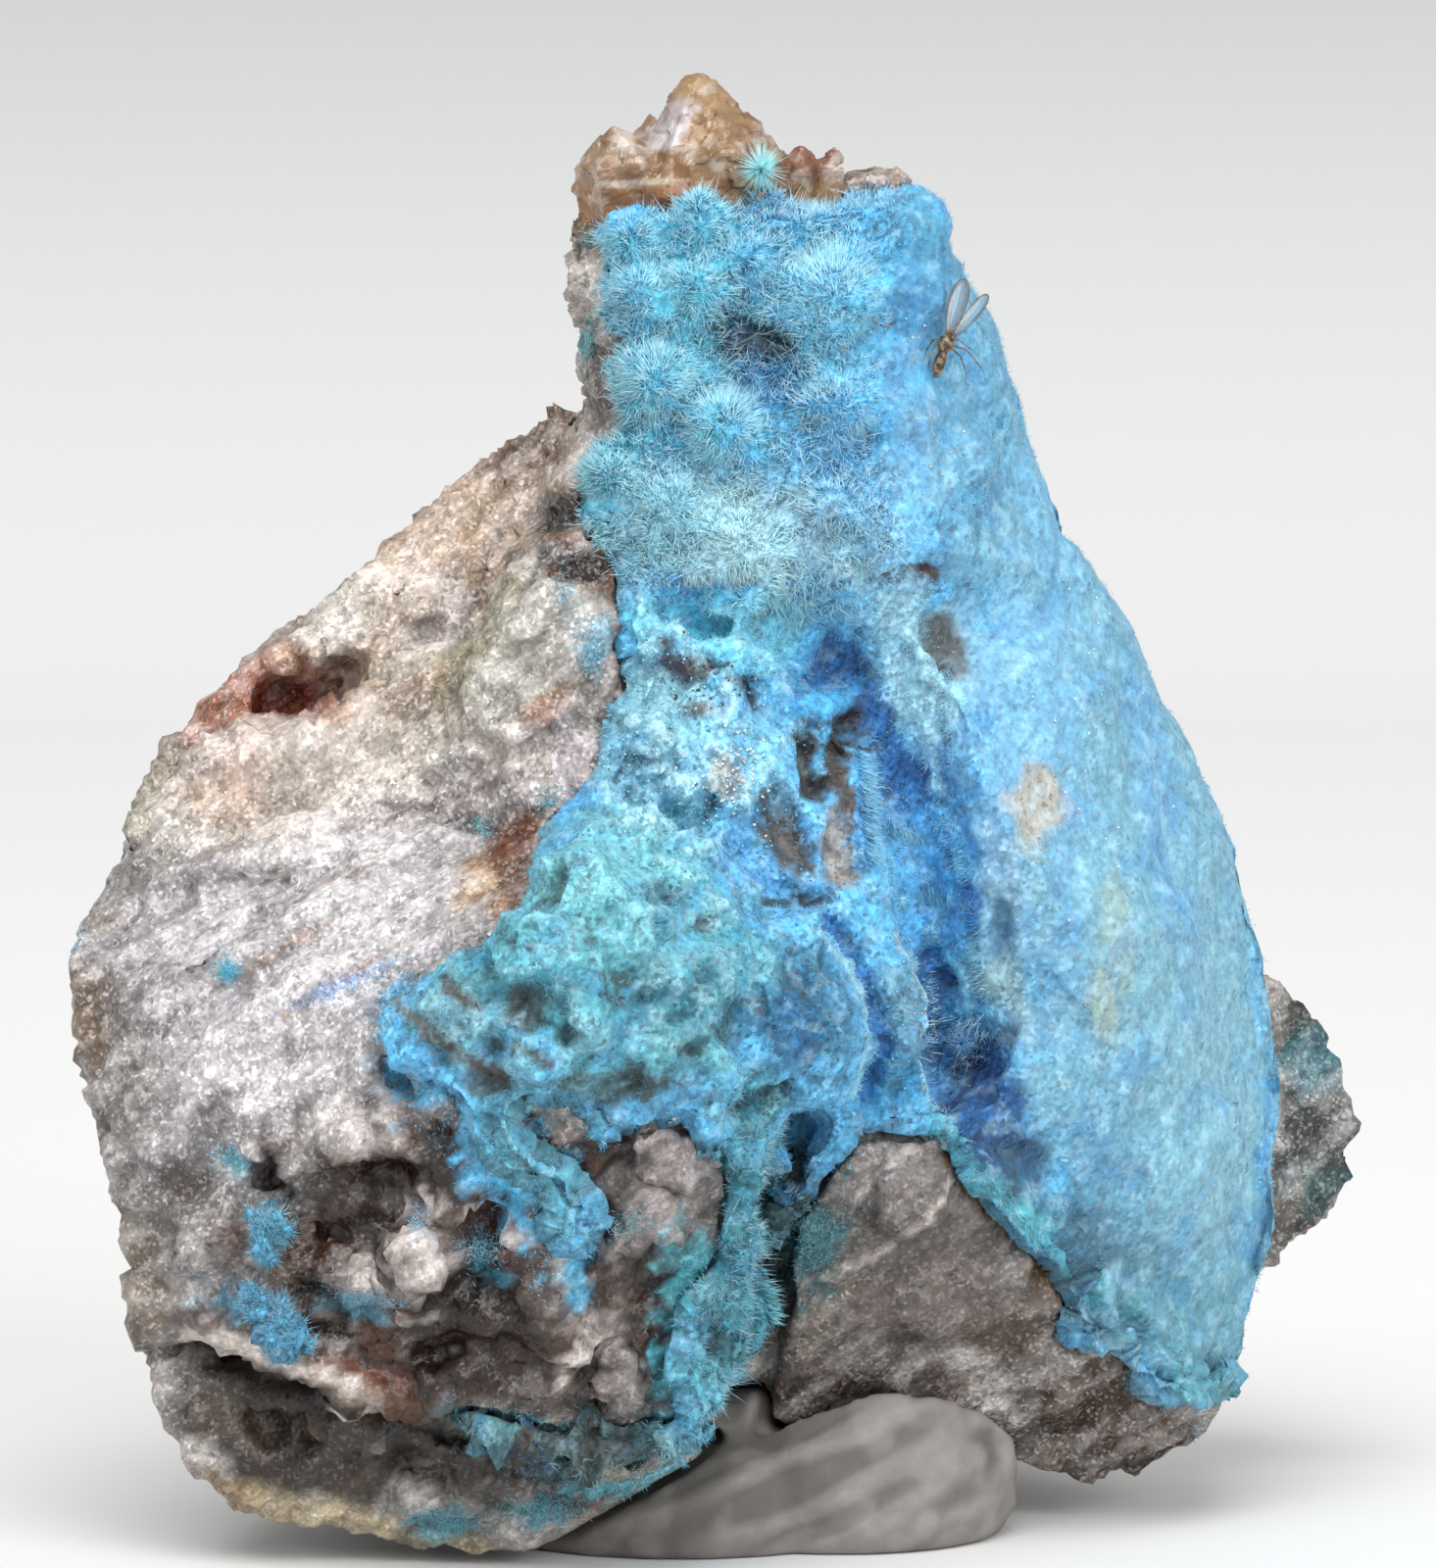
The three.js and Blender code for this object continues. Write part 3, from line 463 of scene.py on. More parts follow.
# %% [markdown]
# Each point moves out by a sum: broad swells, facets and chips that end in steps, splinters along
# the streaks, grains, and the lumps and holes of two tables. Faces that broke smooth get less of it,
# the foot gets more, and the seat on the putty keeps to its solid. Under the blue crust the rock is
# sunk a little, so that it can't show through.

# %% Rock: shape
SINK_UNDER_CRUST = 0.12
STREAK_LEAN = math.radians(30)
ROCK_LUMPS = [
    # x, z, half width, half height, height in mm, how white
    (-7.5, 8.3, 0.8, 1.1, 0.35, 0.85), (-8.9, 7.3, 0.9, 0.6, 0.3, 0.6), (-9.4, 11.2, 0.8, 0.7, 0.2, 0.5),
    (-1.6, 11.4, 0.5, 0.8, 0.25, 0.45), (-1.5, 9.3, 1.3, 1.1, 0.15, 0.25), (-3, 6, 0.9, 0.7, 0.15, 0.3),
    (-2.4, 4.6, 0.6, 1, 0.2, 0.3), (-11.9, 10.6, 0.4, 0.3, 0.2, 0.6), (-4.4, 7, 0.7, 0.7, 0.15, 0.1),
    (-11, 5.7, 1.6, 0.25, 0.3, 0.6), (-8.4, 4.4, 1.6, 0.25, 0.3, 0.1), (-4, 24, 1, 1.6, 0.25, 0.2),
    (-10.6, 21, 2.2, 0.6, 0.3, 0.3), (-13.6, 20.6, 1, 0.9, 0.25, 0.2), (-8.3, 24.9, 0.9, 0.7, 0.3, 0.2),
    (-9.6, 22, 0.8, 0.5, 0.2, 0), (-11.2, 22.4, 1.4, 0.4, -0.15, 0), (-14.9, 6, 0.6, 0.6, 0.4, 0),
]
ROCK_HOLES = [
    # x, z, half width, half height, depth in mm
    (-8.6, 9.9, 0.8, 0.5, 0.5), (-5.9, 9.2, 0.7, 0.6, 0.5), (-11.5, 9.6, 0.8, 0.5, 0.4),
    (-6.4, 7.4, 0.6, 0.6, 0.5), (-10.3, 8.4, 1, 0.4, 0.4), (-5.2, 11.2, 0.7, 0.5, 0.45),
    (-3.2, 8.4, 0.5, 0.8, 0.4), (-0.4, 6, 0.5, 1, 0.4), (-4.3, 26.8, 0.8, 0.5, 0.3),
    (-6, 5.6, 1.2, 0.4, 0.4), (-6.6, 19.2, 0.9, 0.25, 0.3), (-7.9, 12.3, 0.5, 0.4, 0.35),
]

# Coordinates stretched along the streaks of the break
streak_x, streak_z = math.cos(STREAK_LEAN), math.sin(STREAK_LEAN)
along = rock_points[:, 0] * streak_x + rock_points[:, 2] * streak_z
across = rock_points[:, 2] * streak_x - rock_points[:, 0] * streak_z
streaked = np.column_stack((along * 0.28, rock_points[:, 1] * 0.6, across))

swell = rough_noise(rock_points, 6.0, 1)
splinter = ridge_noise(streaked, 1.5, 2) - 0.45
facet = chips(streaked, 2.4, 3)
chip = chips(rock_points, 0.95, 4)
grain = chips(rock_points, 0.5, 9)
fine = rough_noise(rock_points, 0.6, 4)
lump = rough_noise(rock_points, 1.9, 21, 3)
block = chips(rock_points, 1.5, 24)
rise = (0.15 * swell + (0.42 - 0.24 * calm) * facet + (0.26 - 0.18 * calm) * chip
        + (0.24 - 0.08 * calm) * splinter + (0.16 - 0.06 * calm) * grain + 0.04 * fine
        + foot * (0.22 * lump + 0.4 * block))
for *place, height, _ in ROCK_LUMPS:
    rise += height * (1 + block) * spot(rock_view, fray, *place) * rock_front
for *place, depth in ROCK_HOLES:
    rise -= depth * spot(rock_view, fray * 0.6, *place) * rock_front
from_putty = np.hypot(rock_points[:, 0] - 0.5, rock_points[:, 1])
on_putty = step(6.5, 5.0, rock_points[:, 2]) * step(8.5, 7.0, from_putty)
rise += 0.45 * spot(rock_view, fray * 0.3, -14.4, 5.9, 0.9, 0.5)
rise = np.where(under_crust > 0, -SINK_UNDER_CRUST + 0.1 * fine, rise * (1 - 0.9 * on_putty))
set_points(rock.data, rock_points + rock_normals * rise[:, None])
print("rock:", len(rock.data.polygons) * 2, "triangles")

# %% [markdown]
# The rock's colours follow the front view: white and violet-grey sugary quartz on the left, a
# brownish shoulder behind it, a dark pitted foot with white lumps, rust where iron ran, and a brown
# face under the blue on the right. Away from the front the same tones go on by noise alone. Holes,
# the low parts of the foot and the dips of the relief are painted darker as painted shade, and
# crests are painted lighter, partly as painted highlight.

# %% Rock: colours
ROCK_PAINT = [
    # x, z, half width, half height, lean, colour, strength
    (-10.2, 14.8, 7.6, 5, 30, "#a39ea0", 0.85), (-9.4, 17.2, 4.8, 2.4, 32, "#a39e9f", 0.8),
    (-13.6, 15.8, 2.6, 2.2, 30, "#97949a", 0.7), (-12, 13.3, 3, 1.3, 30, "#c0bbbc", 0.75),
    (-15.8, 10.4, 1.5, 5.5, -10, "#6b6664", 0.85), (-14.6, 7.6, 1, 1.6, 0, "#65563f", 0.85),
    (-16.4, 13.8, 0.9, 1.6, 0, "#6d563d", 0.75), (-13, 9.8, 2.2, 2.8, 20, "#736d6e", 0.8),
    (-10.6, 20.2, 3.8, 1.7, 18, "#bcb0a6", 0.85), (-13.2, 20.5, 1.8, 1.7, 0, "#94806f", 0.8),
    (-12.2, 20.4, 0.9, 1, -20, "#c2aa9e", 0.7), (-14.6, 20.2, 0.7, 1.6, 0, "#a9a795", 0.6),
    (-12.9, 20.8, 0.8, 0.9, 0, "#796b60", 0.85), (-8, 20.8, 2.4, 0.9, 25, "#b5aca2", 0.8),
    (-12, 22.3, 2, 0.8, 25, "#8a5036", 0.92), (-10.6, 22.3, 1.7, 0.75, 25, "#782e10", 0.97),
    (-9.7, 22.4, 0.6, 0.4, 10, "#5c3420", 0.9), (-10.2, 21.8, 0.8, 0.5, 0, "#8a4a30", 0.85),
    (-9.2, 23.1, 0.9, 0.5, 20, "#8e7864", 0.85), (-6.8, 26, 2.8, 4.4, -40, "#a68e78", 0.88),
    (-7.4, 24.4, 1.5, 1.3, 20, "#d0c6c2", 0.85), (-8, 22.9, 1, 0.4, 20, "#857a62", 0.7),
    (-9.4, 24.5, 1.3, 1.1, 30, "#c4c0b8", 0.75), (-8.2, 24.9, 0.8, 0.9, 0, "#d2c0ae", 0.75),
    (-5.2, 28.9, 1.8, 1.3, 0, "#6c5648", 0.92), (-4.5, 24.2, 1.5, 3, -30, "#a8a69d", 0.9),
    (-5.8, 24, 0.6, 2.4, -35, "#7c775c", 0.65), (-3.9, 27, 1.1, 0.5, 10, "#3a302a", 0.9),
    (-7.7, 19.4, 1.3, 0.5, 10, "#958b8a", 0.6), (-3.7, 25.5, 1.2, 0.85, 0, "#1a0f0a", 0.98),
    (-5.2, 25.6, 0.35, 0.6, 0, "#4c453e", 0.7), (-3.1, 26.4, 0.5, 0.8, 0, "#5b3a22", 0.85),
    (-2.7, 25.2, 0.4, 1.3, 10, "#7d5430", 0.8), (-3.1, 23.5, 0.6, 0.9, 0, "#6a635e", 0.7),
    (-2.9, 22.9, 0.6, 1.1, 0, "#5c5450", 0.75), (-4.6, 21.7, 1.1, 0.36, 42, "#7a5030", 0.85),
    (-5.9, 20.6, 0.3, 0.2, 20, "#6c3a26", 0.6), (-4.9, 20.7, 1.1, 0.8, 20, "#d4c9c4", 0.85),
    (-3.6, 20.6, 0.9, 1.3, 20, "#aa9d9f", 0.75), (-6.3, 19.7, 1.2, 0.3, 28, "#5f5653", 0.6),
    (-5.2, 18.6, 0.8, 0.8, 0, "#5a2c16", 0.85), (-5.8, 17.5, 0.9, 1, 0, "#84603a", 0.85),
    (-4.9, 17.6, 0.5, 0.9, 0, "#553829", 0.7), (-9.6, 14.9, 1.6, 0.3, 30, "#a07a6c", 0.5),
    (-3.1, 33.5, 0.9, 2.6, 0, "#a29b90", 0.92), (-2.8, 30, 0.6, 2.2, 0, "#423b36", 0.9),
    (-6.6, 7.6, 7.2, 4.4, -4, "#2a1d18", 0.98), (-12.9, 7.9, 1.6, 2.4, 0, "#6f6a69", 0.75),
    (-10.6, 10.4, 1.6, 0.8, 0, "#453a37", 0.8), (-10.8, 9.8, 1.3, 0.8, 0, "#241b17", 0.88),
    (-11.2, 8, 0.6, 1.2, 0, "#6a4c2c", 0.7), (-1.4, 7.6, 3, 4.6, 0, "#3b3130", 0.9),
    (-6, 10, 1.8, 1.4, 30, "#2b1b1b", 0.8), (-4, 9.2, 0.9, 1.3, 0, "#5d4a40", 0.7),
    (-9.2, 8.5, 1.7, 0.9, 0, "#281e17", 0.88), (-0.9, 9.4, 1.9, 1.5, -20, "#6a6466", 0.8),
    (-1.3, 5.2, 1.4, 1.6, 20, "#271a12", 0.93), (-3.6, 5.4, 1.6, 1, -20, "#2a1c12", 0.93),
    (-10.8, 3.4, 3.8, 1.6, -24, "#241a12", 0.98), (-12.4, 3.8, 1.2, 0.5, -30, "#4a3d30", 0.6),
    (-6.4, 2.6, 3, 0.9, -14, "#2a241e", 0.95), (-12.6, 1.9, 2.6, 0.5, -28, "#7d6440", 0.8),
    (-8.8, 1, 3.4, 0.5, -14, "#a5977a", 0.9), (-2.2, 1.7, 1.8, 0.6, 10, "#47301f", 0.75),
    (4.9, 8.6, 3.6, 4, -20, "#5a534f", 0.92), (4.6, 10.4, 1.9, 1.1, 15, "#716a66", 0.8),
    (5.4, 6.9, 2.8, 1.6, 0, "#5c534e", 0.8), (3, 4.6, 2.6, 1.5, 20, "#3c332e", 0.88),
    # The dark browns low on the right, under the crust's edge, are brown rock darkened partly as painted
    # shade under the crust.
    (8.6, 5.6, 2.4, 1.6, -15, "#3a2b1e", 0.92), (10.2, 3.6, 3.4, 1.4, -15, "#30200f", 0.98),
    (10, 4.1, 1.9, 0.9, -15, "#3c240c", 0.85), (-2.8, 5.5, 1.6, 1.2, 0, "#2e1b0c", 0.85),
    (15.4, 11.5, 1.6, 4.5, 0, "#272c29", 0.96), (15.2, 13, 0.9, 0.8, 0, "#3d7a85", 0.6),
    (15.4, 9.6, 1, 0.8, 0, "#466f72", 0.5),
]
ROCK_STROKES = [
    # colour, strength, width, and the points of the line
    ("#57392a", 0.92, 0.34, (-5.1, 18.9), (-5.6, 18.3), (-5.3, 17.5)),
    ("#a8937c", 0.85, 0.34, (-6, 17.6), (-6.5, 17)),
    ("#8d7464", 0.6, 0.2, (-12, 15.2), (-11, 15.9), (-10.1, 16.4)),
    ("#7c655a", 0.6, 0.14, (-9.4, 15), (-8.6, 15.6)),
    ("#4a3c36", 0.8, 0.12, (-8.9, 19.3), (-8, 19.5), (-7.3, 19.4)),
    ("#5a463c", 0.85, 0.14, (-6.9, 20), (-6.2, 19.5)), ("#57483e", 0.75, 0.6, (-7.3, 8.5), (-6.4, 8.7)),
    ("#1e1613", 0.85, 0.4, (-11.4, 9.9), (-10.4, 9.7)), ("#5a3416", 0.7, 0.3, (-4.1, 25.2), (-3.3, 25)),
    ("#20140e", 0.97, 0.46, (-4.1, 25.75), (-3.3, 25.4)), ("#6b4526", 0.8, 0.2, (-4.4, 26.3), (-3.4, 26.2)),
    ("#c6bcb4", 0.9, 0.2, (-13.3, 6.1), (-12, 5.7), (-10.3, 5), (-8.8, 4.5)),
    ("#54371f", 0.8, 0.24, (-8.9, 4.7), (-7.6, 4.3), (-6.7, 3.9)),
    ("#5c2f1a", 0.8, 0.2, (-10.6, 5.6), (-9.2, 5), (-8, 4.8)),
    # The near-black line under the white ridge is a painted shadow below the ledge.
    ("#17110e", 0.85, 0.3, (-12.9, 5.2), (-10.6, 4.3), (-8, 3.5), (-6.4, 3.1)),
    ("#8a5826", 0.85, 0.16, (5.9, 10.4), (6.6, 9.5), (7.4, 8.8), (8.2, 8), (8.8, 6.9), (9.7, 5.9)),
    ("#4b3418", 0.8, 0.3, (8, 7.6), (8.9, 6.4), (9.9, 5.4)),
    ("#59361c", 0.85, 0.2, (-2.9, 26.4), (-2.5, 25.2), (-2.3, 24), (-2.5, 23)),
    ("#5a3018", 0.75, 0.2, (-4.1, 19.6), (-4.8, 19.2), (-5.4, 18.7), (-5.7, 17.9)),
    ("#4a403d", 0.7, 0.1, (-9.8, 18.6), (-7.6, 19.4), (-5.8, 20.1), (-4.6, 20.4)),
    ("#3c3330", 0.7, 0.1, (-5.4, 26.9), (-6, 25.4), (-6.7, 23.8)),
    ("#bdb2ac", 0.7, 0.1, (1.9, 7), (4, 7.9), (5.3, 8.9), (6, 10.3)),
    ("#b9afaa", 0.6, 0.08, (3.4, 9.4), (4.4, 10.2), (5.2, 11.2)),
    ("#d2beb4", 0.6, 0.2, (-13.3, 21.4), (-12.4, 20.6), (-11.6, 21.2)),
    ("#8c6a58", 0.5, 0.12, (-11.4, 14), (-9.6, 15), (-8.2, 15.4)),
]
BLUE_STAINS = [
    # x, z, half width, half height, lean, colour, strength
    (-6.9, 12.9, 1.5, 1.1, 20, "#4fb2dc", 0.9), (-8, 14.1, 0.7, 0.9, 0, "#4ba6d0", 0.8),
    (-5.5, 10.4, 1, 1.8, 30, "#58b8e6", 0.95), (-4.2, 9.4, 0.9, 1, 0, "#4aa3c8", 0.6),
    (-3.7, 8.2, 0.55, 1.3, 0, "#4fa9cc", 0.85), (-5.9, 7.4, 0.5, 0.4, 0, "#3f8ca4", 0.7),
    (-11.8, 6.7, 1.2, 0.5, -25, "#4698b8", 0.78), (-9.2, 6.7, 0.9, 0.25, -10, "#3d8299", 0.7),
    (-12.2, 10.4, 0.35, 0.3, 0, "#4f9fb4", 0.7), (-11.5, 9, 0.3, 0.5, 0, "#4f9fc0", 0.5),
    (-0.6, 6.6, 0.9, 1.9, 0, "#4fa6b4", 0.9), (-0.4, 4.2, 1.2, 1.4, 0, "#5cb4c6", 0.95),
    (-2, 2.6, 1.8, 0.6, 14, "#4b9dac", 0.9), (-4.4, 3, 1.4, 0.7, -20, "#3f93a4", 0.85),
    (-6, 3.8, 0.8, 0.4, -30, "#3f93a8", 0.8), (-7, 1.1, 0.9, 0.4, 0, "#3b8698", 0.7),
    (-4.6, 1.4, 0.8, 0.3, 0, "#3f8e9e", 0.7), (1.6, 11, 1.4, 0.7, 20, "#3f90a0", 0.8),
    (2.2, 8.6, 0.9, 1.8, 0, "#1f5a60", 0.9), (11.6, 4.6, 1.2, 0.3, -15, "#4f95a2", 0.6),
    (-12.5, 15.25, 0.22, 0.22, 0, "#45c4e6", 0.9), (-17, 16, 0.3, 0.5, 0, "#8fc6dc", 0.6),
    (-9.6, 14.9, 1.4, 0.16, 25, "#9fb4d8", 0.6), (-3.3, 31.3, 0.2, 0.6, 0, "#3f8f98", 0.8),
    (-3.2, 23.6, 0.3, 0.8, 0, "#58aac4", 0.5), (-4.4, 19.6, 0.3, 0.15, 0, "#4f9fb0", 0.6),
]

finer_fray = rough_noise(rock_points, 0.5, 22)
colours = wash(
    plain("#857f7a", len(rock_points)),
    ("#7d6a59", step(0.0, 0.6, rough_noise(rock_points, 5.0, 6))),
    ("#a9a39e", step(0.1, 0.6, rough_noise(rock_points, 3.0, 7)) * 0.8),
    ("#61402c", step(0.35, 0.7, rough_noise(rock_points, 2.2, 8)) * 0.5))
colours = paint_spots(colours, rock_view, fray, ROCK_PAINT, rock_front)
# The holes are painted nearly black inside: painted shade.
for *place, _ in ROCK_HOLES:
    colours = wash(colours, ("#150e0c", spot(rock_view, fray, *place) * 0.8 * rock_front))
# On the foot the low parts of the lumps are painted dark as painted shade, and the crests whitened, partly
# white quartz and partly painted highlight.
colours = wash(
    colours,
    ("#150d0b", step(0.12, -0.45, lump) * 0.9 * foot),
    ("#5e3a24", step(0.1, 0.6, rough_noise(rock_points, 1.5, 23)) * 0.7 * foot),
    ("#24150d", step(0.5, -0.1, lump) * 0.6 * foot),
    ("#c4bbb7", step(0.5, 0.95, lump + 0.6 * fine) * 0.7 * foot))
for *place, _, white in ROCK_LUMPS:
    colours = wash(colours, ("#cbc2bd", spot(rock_view, finer_fray * 1.5, *place) * white * rock_front))
colours = paint_strokes(colours, rock_view, finer_fray, ROCK_STROKES, rock_front)
base_rim = on_rock(-9.2, 3.2, 5.6, 2.8, -20)
rusty = (spot(rock_view, finer_fray, -5.4, 18.2, 1.0, 1.2)
         + spot(rock_view, finer_fray, -7.7, 19.4, 1.3, 0.5, 10))
# Lighter on the crests and darker in the dips of the relief: partly the grains' own tone, partly painted
# highlight and shade.
relief_light_and_shade = splinter * 0.8 + grain * 0.5 + facet * 0.35 + fine * 0.25
colours = colours * (1 + (0.62 - 0.22 * calm) * np.clip(relief_light_and_shade, -1, 1))[:, None]
# White on the crests of the splinters: partly white quartz streaks, partly painted highlight.
white_streaks_and_highlight = step(0.15, 0.6, splinter + 0.4 * fine) * (0.25 + 0.2 * left_face)
may_whiten = 1 - 0.95 * np.clip(foot + flat_face + smooth_slab + base_rim + rusty, 0, 1)
colours = wash(colours, ("#e0dbda", white_streaks_and_highlight * may_whiten))
colours = paint_spots(colours, rock_view, finer_fray * 1.6, BLUE_STAINS, rock_front)
sugary = np.clip(1 - 0.8 * smooth_slab - 0.6 * flat_face - 0.85 * foot - 0.7 * base_rim, 0.05, 1)
set_tint(rock.data, colours, sugary)
print("rock painted with", len(ROCK_PAINT) + len(BLUE_STAINS), "spots and", len(ROCK_STROKES), "strokes")

# %% [markdown]
# Sugary quartz is clear grains a quarter of a millimetre across, each with its own flat broken
# faces, so it glints in tiny points and looks white where the grains scatter the light, and grey
# where they let it in. The cells of a Voronoi texture tilt the surface grain by grain and make some
# grains lighter than others, a few grains are painted bright as painted glints, and fine noise
# breaks the colour up.

# %% Rock: broken quartz
GRAIN_MM = 0.24
FROST_MM = 0.09


def tinted_material(name):
    """A new material, its tree and coordinates, and the tint that is stored at the points of its mesh."""
    material, tree, place = new_material(name)
    return material, tree, place, add(tree, "Attribute", attribute_name="tint")


def shaded(tree, colour, texture, low, high, least, most):
    """The colour, times a factor that goes from least to most as the texture goes from low to high."""
    factor = add(tree, "MapRange", {"Value": texture, "From Min": low, "From Max": high,
                                    "To Min": least, "To Max": most})
    return add(tree, "VectorMath", {0: colour, "Scale": factor}, operation="SCALE")


def tilted(tree, facing, cell_colours, middle, amount):
    """The surface direction, tilted cell by cell: each cell's colour less the middle gives its tilt."""
    tilt = add(tree, "VectorMath", {0: cell_colours, 1: (middle,) * 3}, operation="SUBTRACT")
    tilt = add(tree, "VectorMath", {0: tilt, "Scale": amount}, operation="SCALE")
    leaning = add(tree, "VectorMath", {0: facing, 1: tilt}, operation="ADD")
    return add(tree, "VectorMath", {0: leaning}, operation="NORMALIZE")


quartzite, tree, place, tint = tinted_material("broken_sugary_quartz")
sugar = add(tree, "TexVoronoi", {"Vector": place, "Scale": 1 / GRAIN_MM}).outputs["Color"]
frost = add(tree, "TexVoronoi", {"Vector": place, "Scale": 1 / FROST_MM}).outputs["Color"]
mottle = add(tree, "TexNoise", {"Vector": place, "Scale": 3.5, "Detail": 6, "Roughness": 0.7})
run = add(tree, "VectorMath", {0: place, 1: (streak_x * 0.9, 0.0, streak_z * 0.9)}, operation="DOT_PRODUCT")
rung = add(tree, "VectorMath", {0: place, 1: (-streak_z * 5, 1.5, streak_x * 5)}, operation="DOT_PRODUCT")
lined = add(tree, "CombineXYZ", {0: run.outputs["Value"], 1: rung.outputs["Value"]})
streak = add(tree, "TexNoise", {"Vector": lined, "Scale": 1.0, "Detail": 4, "Roughness": 0.6})
colour = tint
for texture, *limits in ((mottle, 0.36, 0.64, 0.76, 1.22), (streak, 0.36, 0.64, 0.84, 1.16),
                         (sugar, 0, 1, 0.72, 1.28), (frost, 0, 1, 0.72, 1.26)):
    colour = shaded(tree, colour, texture, *limits)
# A few grains are painted bright in the colour: painted glints.
painted_glint = add(tree, "MapRange", {"Value": frost, "From Min": 0.66, "From Max": 0.8, "To Max": 0.17})
painted_glint = add(tree, "Math", {0: painted_glint, 1: tint.outputs["Alpha"]}, operation="MULTIPLY")
colour = add(tree, "VectorMath", {0: colour, 1: painted_glint}, operation="ADD")
both = add(tree, "VectorMath", {0: sugar, 1: frost}, operation="ADD")
bend = add(tree, "MapRange", {"Value": tint.outputs["Alpha"], "To Min": 0.3, "To Max": 0.72})
facing = add(tree, "NewGeometry").outputs["Normal"]
finish_material(tree, Base_Color=colour, Normal=tilted(tree, facing, both, 1.0, bend), Roughness=0.36,
                IOR=1.5)
rock.data.materials.append(quartzite)
rock.data.shade_smooth()
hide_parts("matrix_rock")
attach(rock, "root")
print("rock finished")

# %% [markdown]
# The crust is cyanotrichite, a copper aluminium sulphate that grows as balls and mats of needles
# thinner than a hair. Its solid is a shell with rounded balls on it. The base made here keeps that
# form but draws back from it, so that the needles that are planted on it end where the solid does.
# So a table says first how long the needles are from place to place.

# %% Crust base: fine copy and needle lengths
CRUST_VOXEL = 0.17
ROCK_REACH = 1.5  # a point of the base that has rock this close outside, in mm, faces the rock
NEEDLE_LENGTHS = [
    # x, z, half width, half height, lean, needle length in mm
    (1, 30.5, 6.5, 6.5, 0, 0.5), (5.6, 30.5, 2, 6, 0, 0.2), (0.8, 26.2, 4.5, 2, 0, 0.5),
    (-1.5, 22, 3.2, 3, 0, 0.24), (5, 20.5, 1.8, 5, 12, 0.32), (-3, 15.5, 6.5, 4.5, 0, 0.2),
    (2.6, 14, 2.6, 2.5, 0, 0.2), (10.6, 15.5, 4.2, 16, 10, 0.12), (-4.5, 10, 2.5, 3, 0, 0.25),
    (1, 7, 1.8, 5, 0, 0.34), (-3.5, 2.5, 5, 1.2, 0, 0.3), (6.3, 13.4, 0.9, 0.9, 0, 0.5),
    (2.6, 19.8, 1.5, 2.4, 0, 0.16),
]

base = fine_copy("velvet_crust", "velvet_base", CRUST_VOXEL, smooth=4)
base_points, base_normals = surface_of(base.data)


def seen_on_crust(points):
    """Where points of the crust show from the front, and the noise that frays its spots there."""
    return front_view(points), rough_noise(points, 1.1, 11)


base_view, base_fray = seen_on_crust(base_points)
base_ragged = rough_noise(base_points, 0.35, 19)


def on_base(*place, frayed=1.0):
    """1 in an ellipse on the crust base."""
    return spot(base_view, base_fray * frayed, *place)


def needle_length(view, fray):
    """How long the needles are at each point, in mm."""
    length = np.full(len(fray), 0.2)
    for *place, value in NEEDLE_LENGTHS:
        share = spot(view, fray, *place)
        length = length * (1 - share) + value * share
    return length


inner = covered_by(rock_cad, base_points, base_normals, ROCK_REACH)
reach = needle_length(base_view, base_fray)
print("crust base:", len(base_points), "points,", int(inner.sum()), "of them face the rock")

# %% [markdown]
# The base draws in by most of the needles' length. Its surface changes from place to place: beaded
# between the balls, spongy on the nose, nearly smooth on the right flank. Dents and grooves are
# pressed in where the photo shows windows and folds, and the inner side is pressed into the rock.

# %% Crust base: shape
PRESS_INTO_ROCK = 0.35
CRUST_DENTS = [
    # x, z, half width, half height, lean, depth in mm
    (0.9, 31.3, 0.8, 0.6, -30, 0.7), (0.9, 30.2, 1, 0.5, 0, 0.35), (3.3, 21.2, 0.45, 0.9, -15, 0.6),
    (2.5, 20.5, 0.35, 0.8, 10, 0.45), (3.2, 18.4, 0.45, 0.9, 0, 0.4), (1.85, 18.9, 0.5, 1.1, 20, 0.5),
    (5.6, 23.4, 0.5, 0.8, 10, 0.5), (4.8, 25.2, 0.8, 0.25, 10, 0.35), (7.2, 16.1, 0.35, 0.9, 0, 0.5),
    (0.7, 22.3, 0.6, 0.25, -40, 0.5), (-0.4, 16.4, 0.22, 0.2, 0, 0.35), (-3.9, 13.6, 0.35, 0.3, 0, 0.45),
    (-1.6, 14.6, 0.3, 0.3, 0, 0.45), (-5.6, 14.4, 0.5, 0.3, 0, 0.4), (-2.6, 16.8, 0.3, 0.25, 0, 0.4),
    (-0.7, 13.2, 0.4, 0.3, 0, 0.45), (-6, 12.4, 0.6, 0.4, 0, 0.45), (0.2, 5.6, 0.35, 0.4, 0, 0.6),
    (1.9, 9, 0.5, 1, 0, 0.5), (1.2, 11.8, 0.8, 0.3, 20, 0.5), (-1.2, 22.6, 0.9, 0.5, 0, 0.25),
    (6, 12.5, 0.25, 0.7, 10, 0.6), (5.2, 16.8, 0.5, 1.6, 12, 0.4), (3.2, 22.9, 0.9, 0.5, -20, 0.4),
]
CRUST_GROOVES = [
    # depth, width, and the points of the line
    (0.5, 0.22, (2.9, 16.6), (3.7, 15.6), (4.15, 14.4), (4.3, 13.2), (3.9, 12)),
    (0.6, 0.28, (5.5, 15.6), (5.8, 14.4), (5.65, 13), (5.8, 11.8), (6.3, 11.2)),
    (0.4, 0.3, (2.45, 21.3), (2.5, 19.9)), (0.3, 0.2, (-0.8, 25), (0.4, 24.9), (1, 25.1)),
    (0.3, 0.25, (1.2, 11.9), (2.6, 12.2)), (0.35, 0.2, (1.5, 17.4), (2.2, 17.1), (3, 17)),
]

